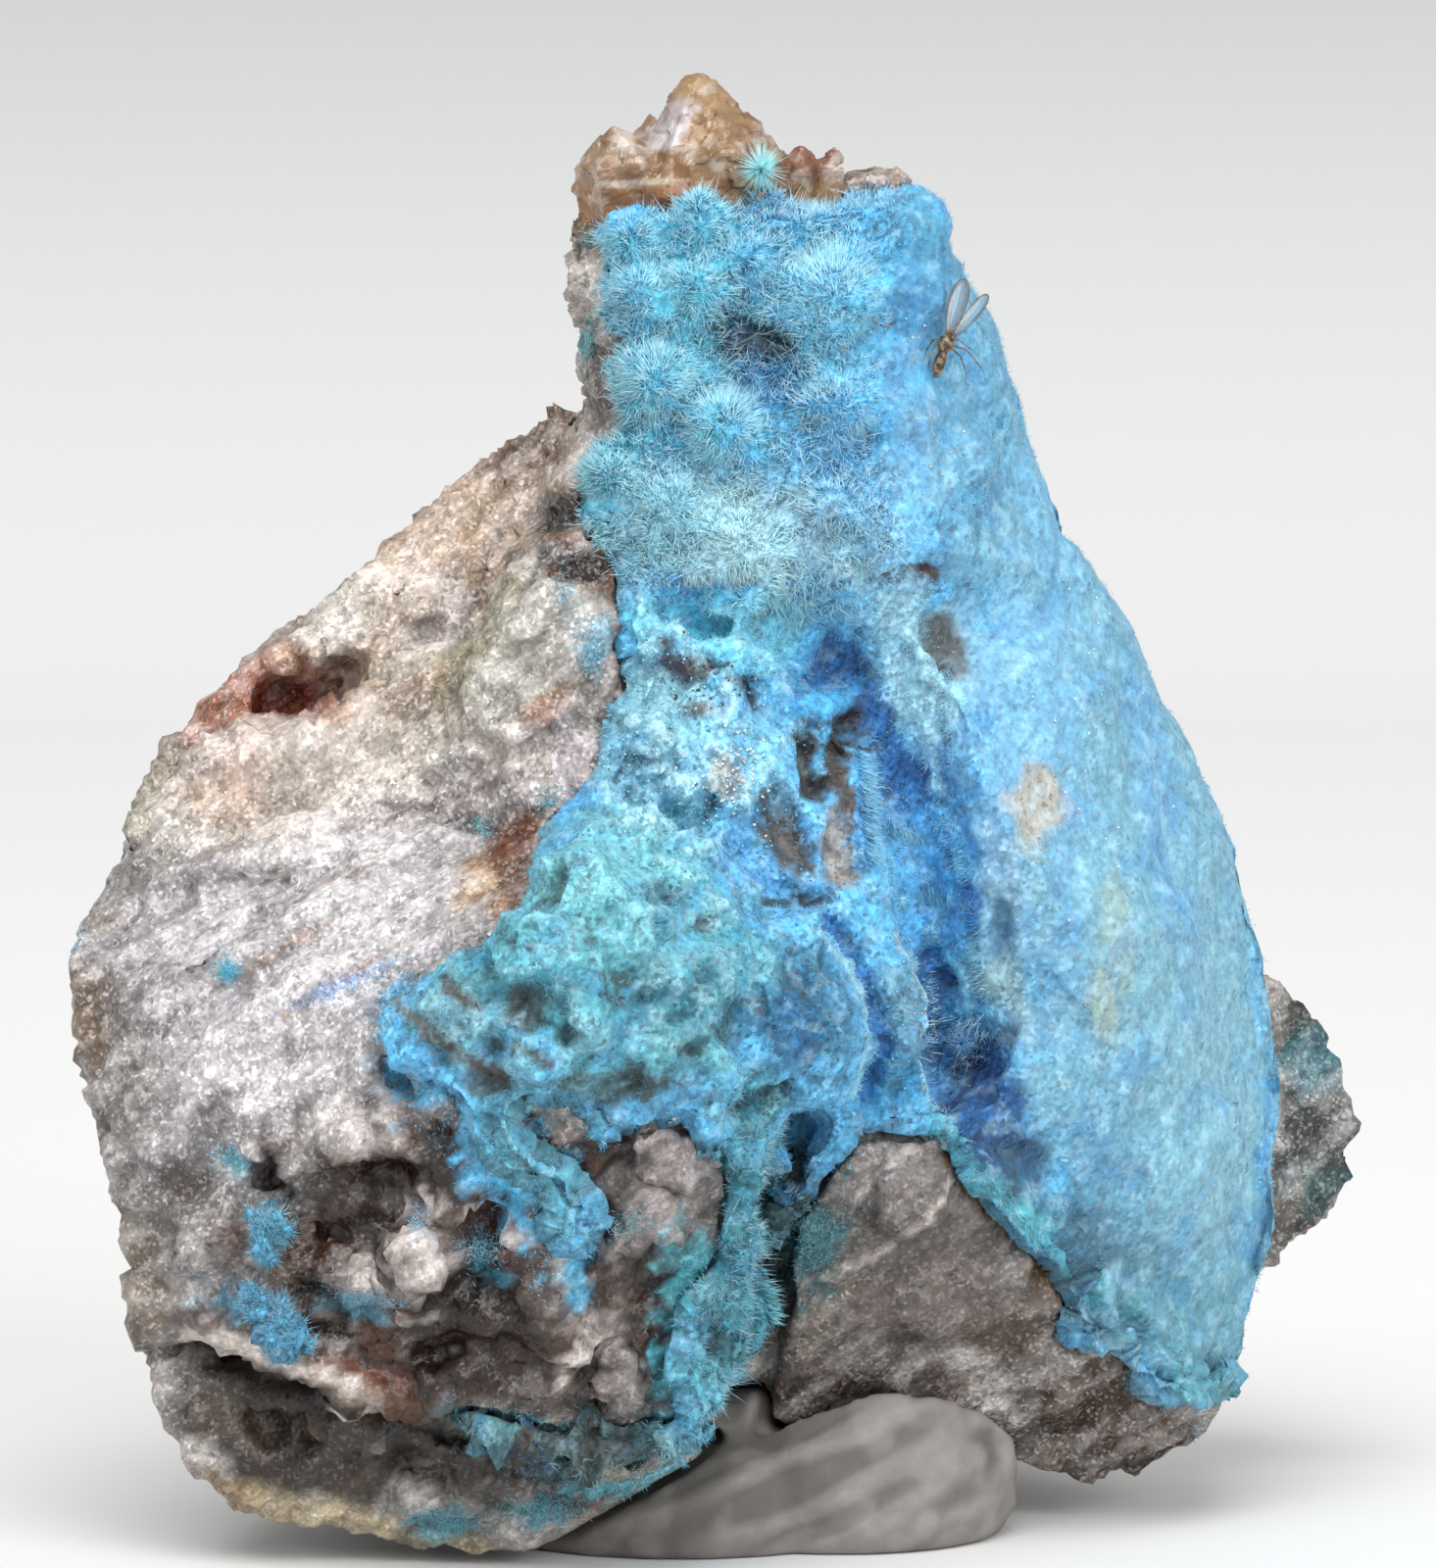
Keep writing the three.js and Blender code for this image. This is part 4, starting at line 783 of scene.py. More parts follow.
near = cells(base_points, 0.55, 12)
bead = np.sqrt(np.clip(1 - (near / 0.75) ** 2, 0, 1)) - 0.6
knot = rough_noise(base_points, 0.45, 13, 3)
roll = rough_noise(base_points, 2.4, 14)
clump = ridge_noise(base_points, 1.9, 17) - 0.5
sponge = rough_noise(base_points, 0.9, 18)
crumb = chips(base_points, 0.45, 26)
on_nose = on_base(-2.8, 14.6, 5.2, 4.2)
on_flank = np.maximum(on_base(10.8, 15.5, 4.4, 18.0, 10), on_base(5.8, 31.0, 1.8, 5.0))
on_drip = np.clip(on_base(0.4, 6.0, 2.2, 5.2, frayed=0.5) + on_base(-3.0, 2.8, 5.4, 1.8), 0, 1)
on_tail = on_base(-4.4, 2.9, 3.2, 1.3)
on_tongue = on_base(-5.0, 9.6, 2.6, 3.2, frayed=0.5)
on_edge = stroke(base_view, base_fray, 0.8,
                 (6.2, 11.3), (7.5, 9.9), (8.6, 8.4), (9.8, 6.5), (11.5, 5.3), (13, 4.6))
on_plate = on_base(-0.6, 21.2, 2.7, 4.2)
rough = 1 - 0.65 * on_flank
lift = (-0.7 * reach + (0.18 * bead + 0.1 * knot) * rough + 0.16 * roll + 0.4 * clump * on_nose
        + 0.24 * sponge * np.clip(on_nose + on_drip + on_tongue + on_edge, 0, 1)
        - 0.3 * on_drip - 0.35 * on_tongue - 0.1 * on_edge + (0.45 * sponge - 0.3) * on_tail)
for *place, depth in CRUST_DENTS:
    lift -= depth * on_base(*place, frayed=0.6)
for depth, width, *path in CRUST_GROOVES:
    lift -= depth * stroke(base_view, base_ragged * 0.5, width, *path)
lift += on_plate * (0.3 * sponge + 0.3 * crumb)
hem = stroke(base_view, base_fray, 0.9, (8.4, 7.2), (9.8, 5.9), (11.5, 4.9), (13.2, 4.4))
lift -= hem * np.clip(0.2 + 1.5 * rough_noise(base_points, 0.9, 28), 0, 1)
lift -= on_base(-4.4, 3.9, 3.2, 0.6) * np.clip(0.3 + 1.4 * rough_noise(base_points, 0.8, 27), 0, 1)
lift = np.where(inner > 0, PRESS_INTO_ROCK, lift)
moved = base_points + base_normals * lift[:, None]
# The rim at the back is drawn forward, more in some places than in others
drawn_in = step(1.5, 4.2, base_points[:, 1]) * np.clip(0.9 + 1.6 * rough_noise(base_points, 2.2, 20), 0, 2.2)
moved[:, 1] -= drawn_in
set_points(base.data, moved)
relax_and_bake(base, 2)
print("crust base:", len(base.data.polygons) * 2, "triangles")

# %% [markdown]
# The blue changes over the crust: greener at the left edge, a pale whitish band under the balls,
# the deepest blue down in the trough, partly painted shade, turquoise on the nose, and a pale
# powdery blue on the right flank, where rust and dust have stained it. Low places between the balls
# are painted darker, as painted shade.

# %% Crust base: colours
# The near-black blues and teals laid in the dents and between the balls are painted shade.
CRUST_PAINT = [
    # x, z, half width, half height, lean, colour, strength
    (10.6, 16.5, 4.6, 17, 10, "#6ea4ba", 0.97), (-0.8, 31.5, 3, 4.6, 0, "#58c6e0", 0.85),
    (-3, 28.5, 1, 4, 0, "#3fa9be", 0.75), (3, 33.4, 2.8, 1.6, 0, "#4cb0d8", 0.75),
    (5.4, 33.4, 1.6, 2, 0, "#4590b4", 0.85), (4.6, 31.8, 0.9, 1.8, 10, "#2f7fbe", 0.7),
    # The blue at x 6.6, z 29.6 beside the gnat is darkened partly as painted shadow of the gnat.
    (3, 32, 1.8, 2, 0, "#68ccf0", 0.8), (6.6, 29.6, 1.4, 4.5, -8, "#5a98b8", 0.85),
    (5.2, 28.6, 0.8, 2.4, 10, "#72a6c0", 0.7), (4.9, 31.4, 1.2, 1.6, 0, "#4288b4", 0.6),
    (1, 31.25, 1.25, 0.7, -20, "#082840", 0.96), (1.1, 35.7, 0.7, 0.7, 0, "#62bcbe", 0.9),
    (1.1, 30.1, 1.2, 0.75, 0, "#0a84bc", 0.9), (0.8, 26.3, 4.2, 1.6, -4, "#c0eaf8", 0.93),
    (-1.6, 26.6, 1.4, 1.4, 0, "#86cadc", 0.75), (3.3, 28.5, 1, 1.1, 0, "#3fa8e0", 0.5),
    (4.2, 27, 1.4, 1.6, 0, "#68b4de", 0.8), (-0.2, 24.9, 1.2, 0.4, 0, "#34b4fa", 0.9),
    (-1, 23.8, 1.8, 1, 0, "#6cdcfa", 0.9), (1.2, 23.9, 1.2, 1, 0, "#86e6fa", 0.9),
    (-1.6, 21, 1.6, 3, 0, "#88bfca", 0.85), (0.4, 20.6, 1.6, 1.6, 0, "#84cdea", 0.8),
    (1.6, 18.2, 2.2, 1.2, 0, "#56a4dc", 0.8), (5, 22.8, 1.2, 3.4, 14, "#b0e4f8", 0.9),
    (3.2, 23, 1.1, 0.7, -20, "#125a9c", 0.92), (4.1, 21.6, 0.45, 1.1, 25, "#2076bc", 0.9),
    (2.7, 22.1, 0.75, 0.5, 0, "#34a0e2", 0.95), (4.7, 19.9, 0.7, 1.4, 20, "#1d6eae", 0.9),
    (5.5, 18, 0.8, 1.5, 15, "#5cbcf4", 0.85), (6.4, 16.9, 0.3, 0.9, 5, "#155294", 0.95),
    (5.5, 16.2, 0.6, 1.1, 5, "#4fa8e0", 0.85), (5.7, 12.6, 0.5, 1.6, 12, "#2474b2", 0.9),
    (6.2, 11.9, 0.3, 0.6, 0, "#142c38", 0.92), (3.8, 19.4, 0.6, 1.9, 8, "#58aee6", 0.85),
    (6.6, 19.4, 0.9, 2.4, 14, "#5fa8da", 0.75), (8, 21.5, 1.6, 4, 12, "#74b4dc", 0.7),
    (8.6, 26.4, 0.7, 3, 12, "#6cacd2", 0.6), (7.4, 17.6, 0.7, 1.6, 12, "#8fb6d0", 0.7),
    (6.9, 12.2, 0.9, 1.7, 8, "#0a4e86", 0.94), (7.4, 10.2, 1.2, 1.8, 20, "#124670", 0.92),
    (9, 8.6, 1.6, 1.8, 20, "#346f8e", 0.8), (10.2, 7, 2.6, 1.6, -20, "#467486", 0.75),
    (9.8, 12.5, 0.9, 4.6, 14, "#649cb8", 0.7), (11.6, 18.5, 0.7, 6, 12, "#62a0cc", 0.6),
    (12.6, 12.5, 1.6, 5.5, 6, "#7aaec0", 0.7), (12.2, 6.2, 1.8, 1.8, -10, "#5894a6", 0.8),
    (12.4, 4.6, 1.4, 0.8, -10, "#4f92a0", 0.7), (-3.2, 15.6, 4.8, 3.6, 0, "#4f9fac", 0.95),
    (-2.6, 17.6, 2.8, 1.4, 20, "#72c0cc", 0.85), (-1.2, 13.6, 1.8, 1.2, 0, "#4f9ea6", 0.75),
    (-5.6, 15, 1.8, 1.2, 0, "#50a8bc", 0.75), (1.9, 14.2, 1.7, 1.9, 0, "#0a5a80", 0.96),
    (0.7, 15.4, 0.8, 0.9, 0, "#429cb4", 0.8), (4.9, 14.2, 0.8, 1.6, 0, "#50849e", 0.9),
    (4.4, 12, 1.4, 0.7, 30, "#2f8cbc", 0.85), (6, 10.9, 0.7, 0.6, -40, "#50a4bc", 0.9),
    (8, 8.9, 0.45, 3.2, 48, "#4ba6b6", 0.9), (-4.9, 10.3, 1.8, 3, 20, "#58a4bc", 0.92),
    (0.8, 7.5, 1.9, 4.8, 0, "#4298a6", 0.92), (-0.2, 4.6, 1, 1.4, 0, "#5cb0c2", 0.85),
    (2, 9.2, 0.6, 1.6, 0, "#0f383e", 0.92), (0.2, 5.6, 0.4, 0.5, 0, "#1c1a17", 0.95),
    (-1.6, 2.4, 1.8, 1, 0, "#6c9c9c", 0.9), (-4.6, 3, 3.6, 2.2, 0, "#4d8288", 0.95),
    (-4.6, 3, 2.6, 1.2, 0, "#33392e", 0.9), (8.2, 19.4, 0.8, 0.9, 0, "#c2ab88", 0.66),
    (8, 18.4, 0.35, 0.5, 0, "#a9a892", 0.4), (10.2, 16.3, 0.45, 1.9, 8, "#9cab90", 0.45),
    (9.9, 14.4, 0.4, 1.4, 8, "#a6ae8a", 0.5), (7.4, 15, 0.6, 1.6, 10, "#9bb0a4", 0.5),
    (-0.7, 23, 0.8, 0.4, 0, "#5c3a20", 0.85), (-0.4, 21.9, 0.45, 0.2, 0, "#7c5838", 0.8),
    (0.15, 20.2, 0.6, 0.65, 0, "#c2bdb2", 0.9), (5.75, 23.5, 0.5, 0.75, 10, "#594535", 0.85),
    (6.2, 23, 0.3, 0.3, 0, "#5a4c40", 0.7), (-0.4, 16.4, 0.22, 0.2, 0, "#142a2e", 0.9),
    (6.2, 13.5, 0.5, 0.5, 0, "#3fa0e0", 0.9), (-3.9, 13.6, 0.4, 0.35, 0, "#1c3e40", 0.85),
    (-1.6, 14.6, 0.35, 0.3, 0, "#1c3e40", 0.8), (-5.2, 14.3, 0.7, 0.5, -40, "#473b2e", 0.85),
    (-6, 12.4, 0.8, 0.5, 0, "#40342c", 0.85), (-0.7, 13.2, 0.45, 0.3, 0, "#2f3a36", 0.8),
    (7.1, 16.3, 0.25, 0.9, 0, "#2f6690", 0.6), (1.3, 11.9, 0.9, 0.3, 20, "#20383c", 0.85),
    (-2, 12.2, 0.6, 0.5, 0, "#3c3832", 0.75), (-6.7, 14.2, 1.1, 0.9, 0, "#62868a", 0.7),
    (-0.9, 14.5, 1.4, 1.2, 0, "#226a7e", 0.85), (-2.8, 12.2, 1.8, 0.55, 0, "#495a52", 0.72),
    (4.6, 20.4, 0.65, 1.2, 15, "#0b5296", 0.95), (6.9, 11.6, 0.8, 1.7, 10, "#08427a", 0.88),
]
CRUST_STROKES = [
    # colour, strength, width, and the points of the line
    ("#2a1f18", 0.98, 0.5, (3.45, 21.75), (3.3, 21.15)), ("#332820", 0.97, 0.38, (3.3, 21.2), (3.08, 20.4)),
    ("#463829", 0.95, 0.26, (3.15, 20.3), (3.25, 19.3)),
    ("#2e231c", 0.97, 0.4, (2.35, 21), (2.5, 20.4), (2.6, 20)),
    ("#33281f", 0.9, 0.13, (2, 21.25), (2.6, 21.3)),
    ("#9b9a98", 0.99, 0.44, (3.1, 18.9), (3.15, 18.3), (3.3, 17.75)),
    ("#5a5653", 0.8, 0.12, (2.95, 18.7), (3.3, 18.3)), ("#9a8f86", 0.8, 0.16, (3.2, 17.75), (3.5, 17.6)),
    ("#5e4429", 0.7, 0.06, (3.48, 20), (3.5, 18.6), (3.62, 17.8)),
    ("#403a37", 0.98, 0.38, (1.42, 19.6), (1.6, 19)), ("#46403c", 0.98, 0.6, (1.7, 18.8), (1.98, 18.2)),
    ("#6d6865", 0.6, 0.12, (1.7, 18.7), (2.1, 18.1)), ("#1f2420", 0.9, 0.15, (1.3, 17.1), (1.8, 17.05)),
    ("#2c2620", 0.9, 0.15, (2.1, 17.2), (2.8, 17)),
    ("#3a2c23", 0.95, 0.45, (-4.3, 3.9), (-3.4, 3.5), (-2.4, 3.3)),
    ("#33261e", 0.9, 0.2, (-5, 3.4), (-4.5, 2.9)), ("#3c2f26", 0.85, 0.18, (-3.2, 3), (-2.9, 2.6)),
    ("#7fbcc4", 0.8, 0.3, (-5.6, 3.7), (-4.9, 3.9)), ("#a89c90", 0.85, 0.38, (-2.8, 2.3), (-1.4, 2.3)),
    ("#4a3d33", 0.92, 0.26, (-7.4, 13.6), (-6.4, 12.9), (-5.6, 12.6)),
    ("#5a4c40", 0.85, 0.2, (-7, 15), (-6.2, 14.3)), ("#4fb6ea", 0.95, 0.36, (2.45, 22.1), (3.05, 22.15)),
    ("#0e3f66", 0.8, 0.12, (2.1, 21.65), (2.9, 21.55)), ("#3c332d", 0.9, 0.18, (-5.2, 13.3), (-4.4, 12.9)),
    ("#6a5a4c", 0.8, 0.16, (-8.2, 14.4), (-7.6, 13.9)),
    ("#2a1709", 0.98, 0.18, (0.3, 22.7), (0.8, 22.3), (1.1, 21.9)),
    ("#4a2c14", 0.9, 0.16, (-1.3, 23.7), (-1.2, 23.1), (-0.6, 22.9)),
    ("#4c2e1a", 0.95, 0.18, (4.2, 25.1), (4.9, 25.3), (5.7, 25.2)),
    # The dark blue strokes along the two grooves on the lumps are painted shade in the grooves.
    ("#1666a8", 0.9, 0.22, (2.9, 16.6), (3.7, 15.6), (4.15, 14.4), (4.3, 13.2), (3.9, 12)),
    ("#145898", 0.9, 0.24, (5.5, 15.6), (5.8, 14.4), (5.65, 13), (5.8, 11.8)),
    ("#a4d8ec", 0.8, 0.1, (2.6, 16.3), (3.4, 15.3), (3.85, 14.3), (3.95, 13.2), (3.5, 12.1)),
    ("#b4dff0", 0.85, 0.12, (4.6, 16.2), (5.2, 15.4), (5.45, 14.4), (5.3, 13), (5.5, 11.9), (6.1, 11.3)),
    ("#1164a6", 0.9, 0.34, (3.9, 22.4), (4.35, 21.2), (4.8, 19.8)),
    ("#2282c0", 0.8, 0.2, (4.8, 19.9), (5.3, 18.8), (5.9, 17.6), (6.4, 16.4)),
    ("#58aee8", 0.6, 0.3, (5.3, 19), (5.9, 17.8)), ("#4c9fdc", 0.6, 0.3, (5.9, 16.9), (6.1, 16)),
    ("#8fcdf0", 0.45, 0.1, (4.9, 21.6), (5.2, 20.4), (5.6, 19.4)),
    ("#8fcdf0", 0.6, 0.1, (4.4, 19.6), (4.9, 18.4), (5.3, 17.4)),
    ("#2374b8", 0.6, 0.22, (5.5, 20.9), (5.9, 19.6), (6.6, 18.2)),
    ("#cfeaf4", 0.6, 0.12, (-0.9, 25.3), (0.2, 25.2), (1.2, 25.4)),
]


def crust_colour(points, view, fray):
    """The blue at each point of the crust, before its height is counted in."""
    colours = wash(
        paint_spots(plain("#5cb4e2", len(points)), view, fray, CRUST_PAINT),
        ("#1f78c0", step(0.2, 0.6, rough_noise(points, 1.6, 15)) * 0.25),
        ("#b0dcee", step(0.15, 0.6, rough_noise(points, 0.45, 16)) * 0.3))
    return paint_strokes(colours, view, rough_noise(points, 0.35, 19) * 1.1, CRUST_STROKES)


base_colours = crust_colour(base_points, base_view, base_fray)
# Painted shade: the base is darker in the low places between the beads and under the long needles, and the
# hollows of the nose, the plate and the spongy parts are darker still; their swells are painted lighter, as
# painted highlight.
low = step(0.05, -0.45, bead * 0.6 + knot * 0.4) * rough
spongy = np.clip(on_drip + on_tongue + on_edge, 0, 1)
base_colours = wash(
    base_colours * (1 - 0.4 * low - 0.16 * step(0.25, 0.45, reach))[:, None],
    ("#26403f", step(-0.1, -0.8, sponge + clump * 1.2) * 0.8 * on_nose),
    ("#8fccd8", step(0.2, 0.9, sponge + clump) * 0.4 * on_nose),
    ("#28668c", step(-0.05, -0.8, sponge + 0.6 * crumb) * 0.5 * on_plate),
    ("#bfeaf6", step(0.05, 0.7, sponge + 0.6 * crumb) * 0.6 * on_plate),
    ("#25474a", step(0.0, -0.7, sponge) * 0.6 * spongy))
set_tint(base.data, base_colours, 1 - 0.5 * on_flank)
print("crust painted with", len(CRUST_PAINT), "spots")

# %% [markdown]
# Between the tall needles lies a felt of very short ones. It is matt, it scatters light as velvet
# does, and it glints in tiny points. Cells of a tenth of a millimetre tilt the surface like tufts.
# The fourth channel of the point colours says how coarse the felt is.

# %% Crust base: felt of short needles
TUFT_MM = 0.12

felt, tree, place, tint = tinted_material("felted_copper_mineral")
tufts = add(tree, "TexVoronoi", {"Vector": place, "Scale": 1 / TUFT_MM}).outputs["Color"]
speck = add(tree, "TexNoise", {"Vector": place, "Scale": 3.4, "Detail": 7, "Roughness": 0.78})
by_speck = add(tree, "MapRange", {"Value": speck, "From Min": 0.35, "From Max": 0.65,
                                  "To Min": -0.45, "To Max": 0.32})
by_tuft = add(tree, "MapRange", {"Value": tufts, "To Min": -0.42, "To Max": 0.42})
both = add(tree, "Math", {0: by_speck, 1: by_tuft})
coarse = add(tree, "MapRange", {"Value": tint.outputs["Alpha"], "To Min": 0.3, "To Max": 1.0})
both = add(tree, "Math", {0: both, 1: coarse, 2: 1.0}, operation="MULTIPLY_ADD")
colour = add(tree, "VectorMath", {0: tint, "Scale": both}, operation="SCALE")
facing = add(tree, "NewGeometry").outputs["Normal"]
finish_material(tree, Base_Color=colour, Normal=tilted(tree, facing, tufts, 0.5, coarse), Roughness=0.65,
                IOR=1.6, Sheen_Weight=0.18, Sheen_Roughness=0.4, Sheen_Tint=linear("#cfeefa"))
base.data.materials.append(felt)
base.data.shade_smooth()
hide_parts("velvet_crust")
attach(base, "root")
print("crust base finished")

# %% [markdown]
# The needles are what makes the velvet. One needle is a three-sided spike made with a bmesh cone.
# Real needles are 5 to 10 micrometres thick. That is finer than a pixel, so these are drawn four
# times as thick and fewer of them stand.

# %% One needle
NEEDLE_WIDTH = 0.03


def shape_of(form):
    """The points and faces of a small bmesh, as arrays."""
    bmesh.ops.triangulate(form, faces=form.faces)
    shape = np.array([v.co for v in form.verts]), np.array([[v.index for v in f.verts] for f in form.faces])
    form.free()
    return shape


spike_form = bmesh.new()
bmesh.ops.create_cone(spike_form, cap_ends=True, cap_tris=False, segments=3, radius1=0.5, radius2=0.0,
                      depth=1.0, matrix=Matrix.Translation((0, 0, 0.5)))
bmesh.ops.remove_doubles(spike_form, verts=spike_form.verts, dist=1e-5)
SPIKE = shape_of(spike_form)
print("one needle has", len(SPIKE[0]), "points and", len(SPIKE[1]), "triangles")

# %% [markdown]
# Numpy plants many thousand copies of a needle, joined in one mesh. Their places are drawn by chance,
# denser where that is asked for, or found by a ray from the camera. Each copy has its own lean,
# length, width and colours.

# %% Plant many copies
def plant(name, shape, roots, axes, low_colours, high_colours, material, slot):
    """One mesh of many copies of a shape. Each has a root and three axes in mm, and two colours."""
    form, faces = shape
    points = roots[:, None, :] + np.einsum("pk,nkc->npc", form, axes)
    faces = faces[None, :, :] + (np.arange(len(roots)) * len(form))[:, None, None]
    mesh = bpy.data.meshes.new(name)
    mesh.vertices.add(points.shape[0] * points.shape[1])
    mesh.vertices.foreach_set("co", (points * MM).astype(np.float32).ravel())
    count = faces.shape[0] * faces.shape[1]
    mesh.loops.add(count * 3)
    mesh.loops.foreach_set("vertex_index", faces.astype(np.int32).ravel())
    mesh.polygons.add(count)
    mesh.polygons.foreach_set("loop_start", np.arange(0, count * 3, 3, dtype=np.int32))
    mesh.update(calc_edges=True)
    mesh.validate()
    rise = form[None, :, 2:3]
    set_tint(mesh, (low_colours[:, None, :] * (1 - rise) + high_colours[:, None, :] * rise).reshape(-1, 3))
    mesh.materials.append(material)
    piece = new_object(name, mesh)
    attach(piece, "root")
    print(name + ":", len(roots), "copies,", count, "triangles")


def unit(vectors):
    """The vectors, each with a length of 1."""
    return vectors / np.linalg.norm(vectors, axis=1, keepdims=True)


def needle_axes(directions, lengths, widths):
    """The three axes of each needle, from where it points, its length and its width."""
    side = unit(np.cross(directions, [0.31, 0.57, 0.76]))
    other = np.cross(directions, side)
    return np.stack((side * widths[:, None], other * widths[:, None], directions * lengths[:, None]), axis=1)


def scatter(mesh, density, count, draw):
    """Random places on a mesh, denser where the density of its points is higher."""
    mesh.calc_loop_triangles()
    corners = np.empty(len(mesh.loop_triangles) * 3, np.int32)
    mesh.loop_triangles.foreach_get("vertices", corners)
    corners = corners.reshape(-1, 3)
    points, normals = surface_of(mesh)
    a, b, c = (points[corners[:, k]] for k in range(3))
    area = np.linalg.norm(np.cross(b - a, c - a), axis=1) / 2 * density[corners].mean(axis=1)
    chosen = corners[draw.choice(len(corners), count, p=area / area.sum())]
    share = draw.dirichlet((1, 1, 1), count)[:, :, None]
    return (points[chosen] * share).sum(axis=1), unit((normals[chosen] * share).sum(axis=1))


def leaned(directions, spread, draw):
    """Directions turned by chance; a spread of 1 is a wide fan."""
    return unit(directions + draw.normal(size=directions.shape) * spread)


def shoot(tree, x, z):
    """Where a ray from the camera through a place of the front view meets a tree, in mm, or None."""
    ray = -BACKWARD * DISTANCE + Vector((x, 0, 0)) + UPWARD * (z - VIEW_HEIGHT / 2)
    hit, out = tree.ray_cast(EYE * MM, ray.normalized())[:2]
    return None if hit is None else (np.array(hit) / MM, np.array(out))


print("a ray through the tower meets the crust at", shoot(crust_cad, 1, 32)[0].round(2), "mm")

# %% [markdown]
# Cyanotrichite needles are clear blue crystals with a silky gloss. Each needle carries its own colour
# at its points, and a soft noise makes whole patches of needles a little lighter or darker.

# %% Needle material
silk, tree, place, tint = tinted_material("silky_needle_crystals")
patch = add(tree, "TexNoise", {"Vector": place, "Scale": 1.2, "Detail": 2})
finish_material(tree, Base_Color=shaded(tree, tint, patch, 0.3, 0.7, 0.88, 1.12), Roughness=0.4, IOR=1.6)
print("needle material made")

# %% [markdown]
# The velvet is planted in three pieces. Each draws places all over the outside of the base, more of
# them where the needles are long and hardly any on the bare spots, and puts a tuft at each place, as
# the needles grew. Each needle starts a little below the surface.

# %% Needles of the velvet
VELVET_PIECES = 3
TUFTS_A_PIECE = 5600
NEEDLES_A_TUFT = 8
TUFT_SPREAD_MM = 0.07
ROOT_DEPTH = 0.05
TIP_COLOUR = "#cdf4fb"
LUMINANCE = np.array([0.2, 0.7, 0.1])
BARE_SPOTS = [
    # x, z, half width, half height, lean
    (-0.7, 23, 0.8, 0.4, 0), (0.7, 22.3, 0.6, 0.28, -40), (-0.3, 22, 0.45, 0.2, 0),
    (0.15, 20.2, 0.5, 0.6, 0), (5.7, 23.4, 0.45, 0.7, 10), (4.9, 25.2, 0.8, 0.22, 10),
    (3.3, 20.9, 0.55, 1.3, -8), (3.2, 18.4, 0.55, 1.2, 0), (1.75, 18.8, 0.62, 1.3, 20),
    (0.2, 5.6, 0.4, 0.5, 0), (2.48, 20.6, 0.45, 1, 0), (2.2, 17.2, 0.9, 0.25, 0), (1.2, 31.3, 0.6, 0.3, -30),
    (2, 9.2, 0.4, 1.2, 0), (1.3, 11.9, 0.8, 0.25, 20),
]
ROCK_NEAR = 1.2  # where the base has rock this close outside, in mm, no needle stands

base_crust = tree_of(base.data)
outer = 1 - covered_by(rock_cad, *surface_of(base.data), ROCK_NEAR)
bare = np.zeros(len(base_points))
for place in BARE_SPOTS:
    bare = np.maximum(bare, on_base(*place, frayed=0.5))
density = outer * (0.5 + step(0.2, 0.5, reach)) * (1 - 0.95 * bare)


def velvet(roots, outward, lean, lengths, spread, draw):
    """The axes and colours of velvet needles: bluer at the root, whiter at the tip of a long one."""
    count = len(roots)
    deep = crust_colour(roots, *seen_on_crust(roots)) * (0.92, 1.01, 1.04)
    bright = deep @ LUMINANCE
    tone = draw.uniform(0.82, 1.3, (count, 1))
    white = (0.15 + 0.6 * step(0.15, 0.45, lengths)) * (0.12 + 0.88 * step(0.08, 0.35, bright))
    tips = wash(deep, (TIP_COLOUR, white * draw.uniform(0.4, 1.5, count)))
    widths = NEEDLE_WIDTH * draw.uniform(0.7, 1.2, count) * (0.75 + 0.4 * step(0.15, 0.5, lengths))
    axes = needle_axes(leaned(lean, spread, draw), lengths, widths)
    return roots - outward * ROOT_DEPTH, axes, np.minimum(deep * tone, 0.95), np.minimum(tips * tone, 0.97)


draw = np.random.default_rng(11)
for k in range(VELVET_PIECES):
    place, out = scatter(base.data, density, TUFTS_A_PIECE, draw)
    lean = np.repeat(leaned(out, 0.4, draw), NEEDLES_A_TUFT, axis=0)
    out = np.repeat(out, NEEDLES_A_TUFT, axis=0)
    apart = draw.normal(size=out.shape) * TUFT_SPREAD_MM
    roots = np.repeat(place, NEEDLES_A_TUFT, axis=0) + apart - out * (apart * out).sum(axis=1, keepdims=True)
    lengths = needle_length(*seen_on_crust(roots)) * draw.uniform(0.55, 1.2, len(roots))
    plant(f"velvet_needles_{k + 1}", SPIKE, *velvet(roots, out, lean, lengths, 0.28, draw), silk,
          "velvet_crust")
print("needles on", round(float(outer.sum() / len(outer)), 2), "of the base's points")

# %% [markdown]
# On the tower the needles stand in round balls, each grown outward from one point, so that every
# ball is a burst. Their places repeat the balls of the CAD source. A ray from the front finds the
# top of each ball, and tufts of needles fan out from its middle.

# %% Balls of needles
BURSTS = [
    # x, z, radius in mm, share of the needles
    (-2.55, 34.2, 0.9, 0.7), (-0.85, 34.7, 1, 0.3), (0.75, 35, 0.9, 0.3), (-2.35, 32.8, 1.1, 0.9),
    (-1.05, 32.9, 1.1, 0.8), (0.35, 33.6, 0.9, 0.4), (2.55, 32.6, 1.8, 0.8), (-1.95, 30.6, 1.35, 1.2),
    (-0.25, 29.4, 1.35, 1.2), (2.75, 30, 1.3, 0.7), (-3.05, 28.1, 1, 0.9), (-1.55, 27.4, 1.1, 0.4),
]
BALL_TUFTS = 2600
NEEDLES_A_BALL_TUFT = 12
RAY_FROM_Y = -40

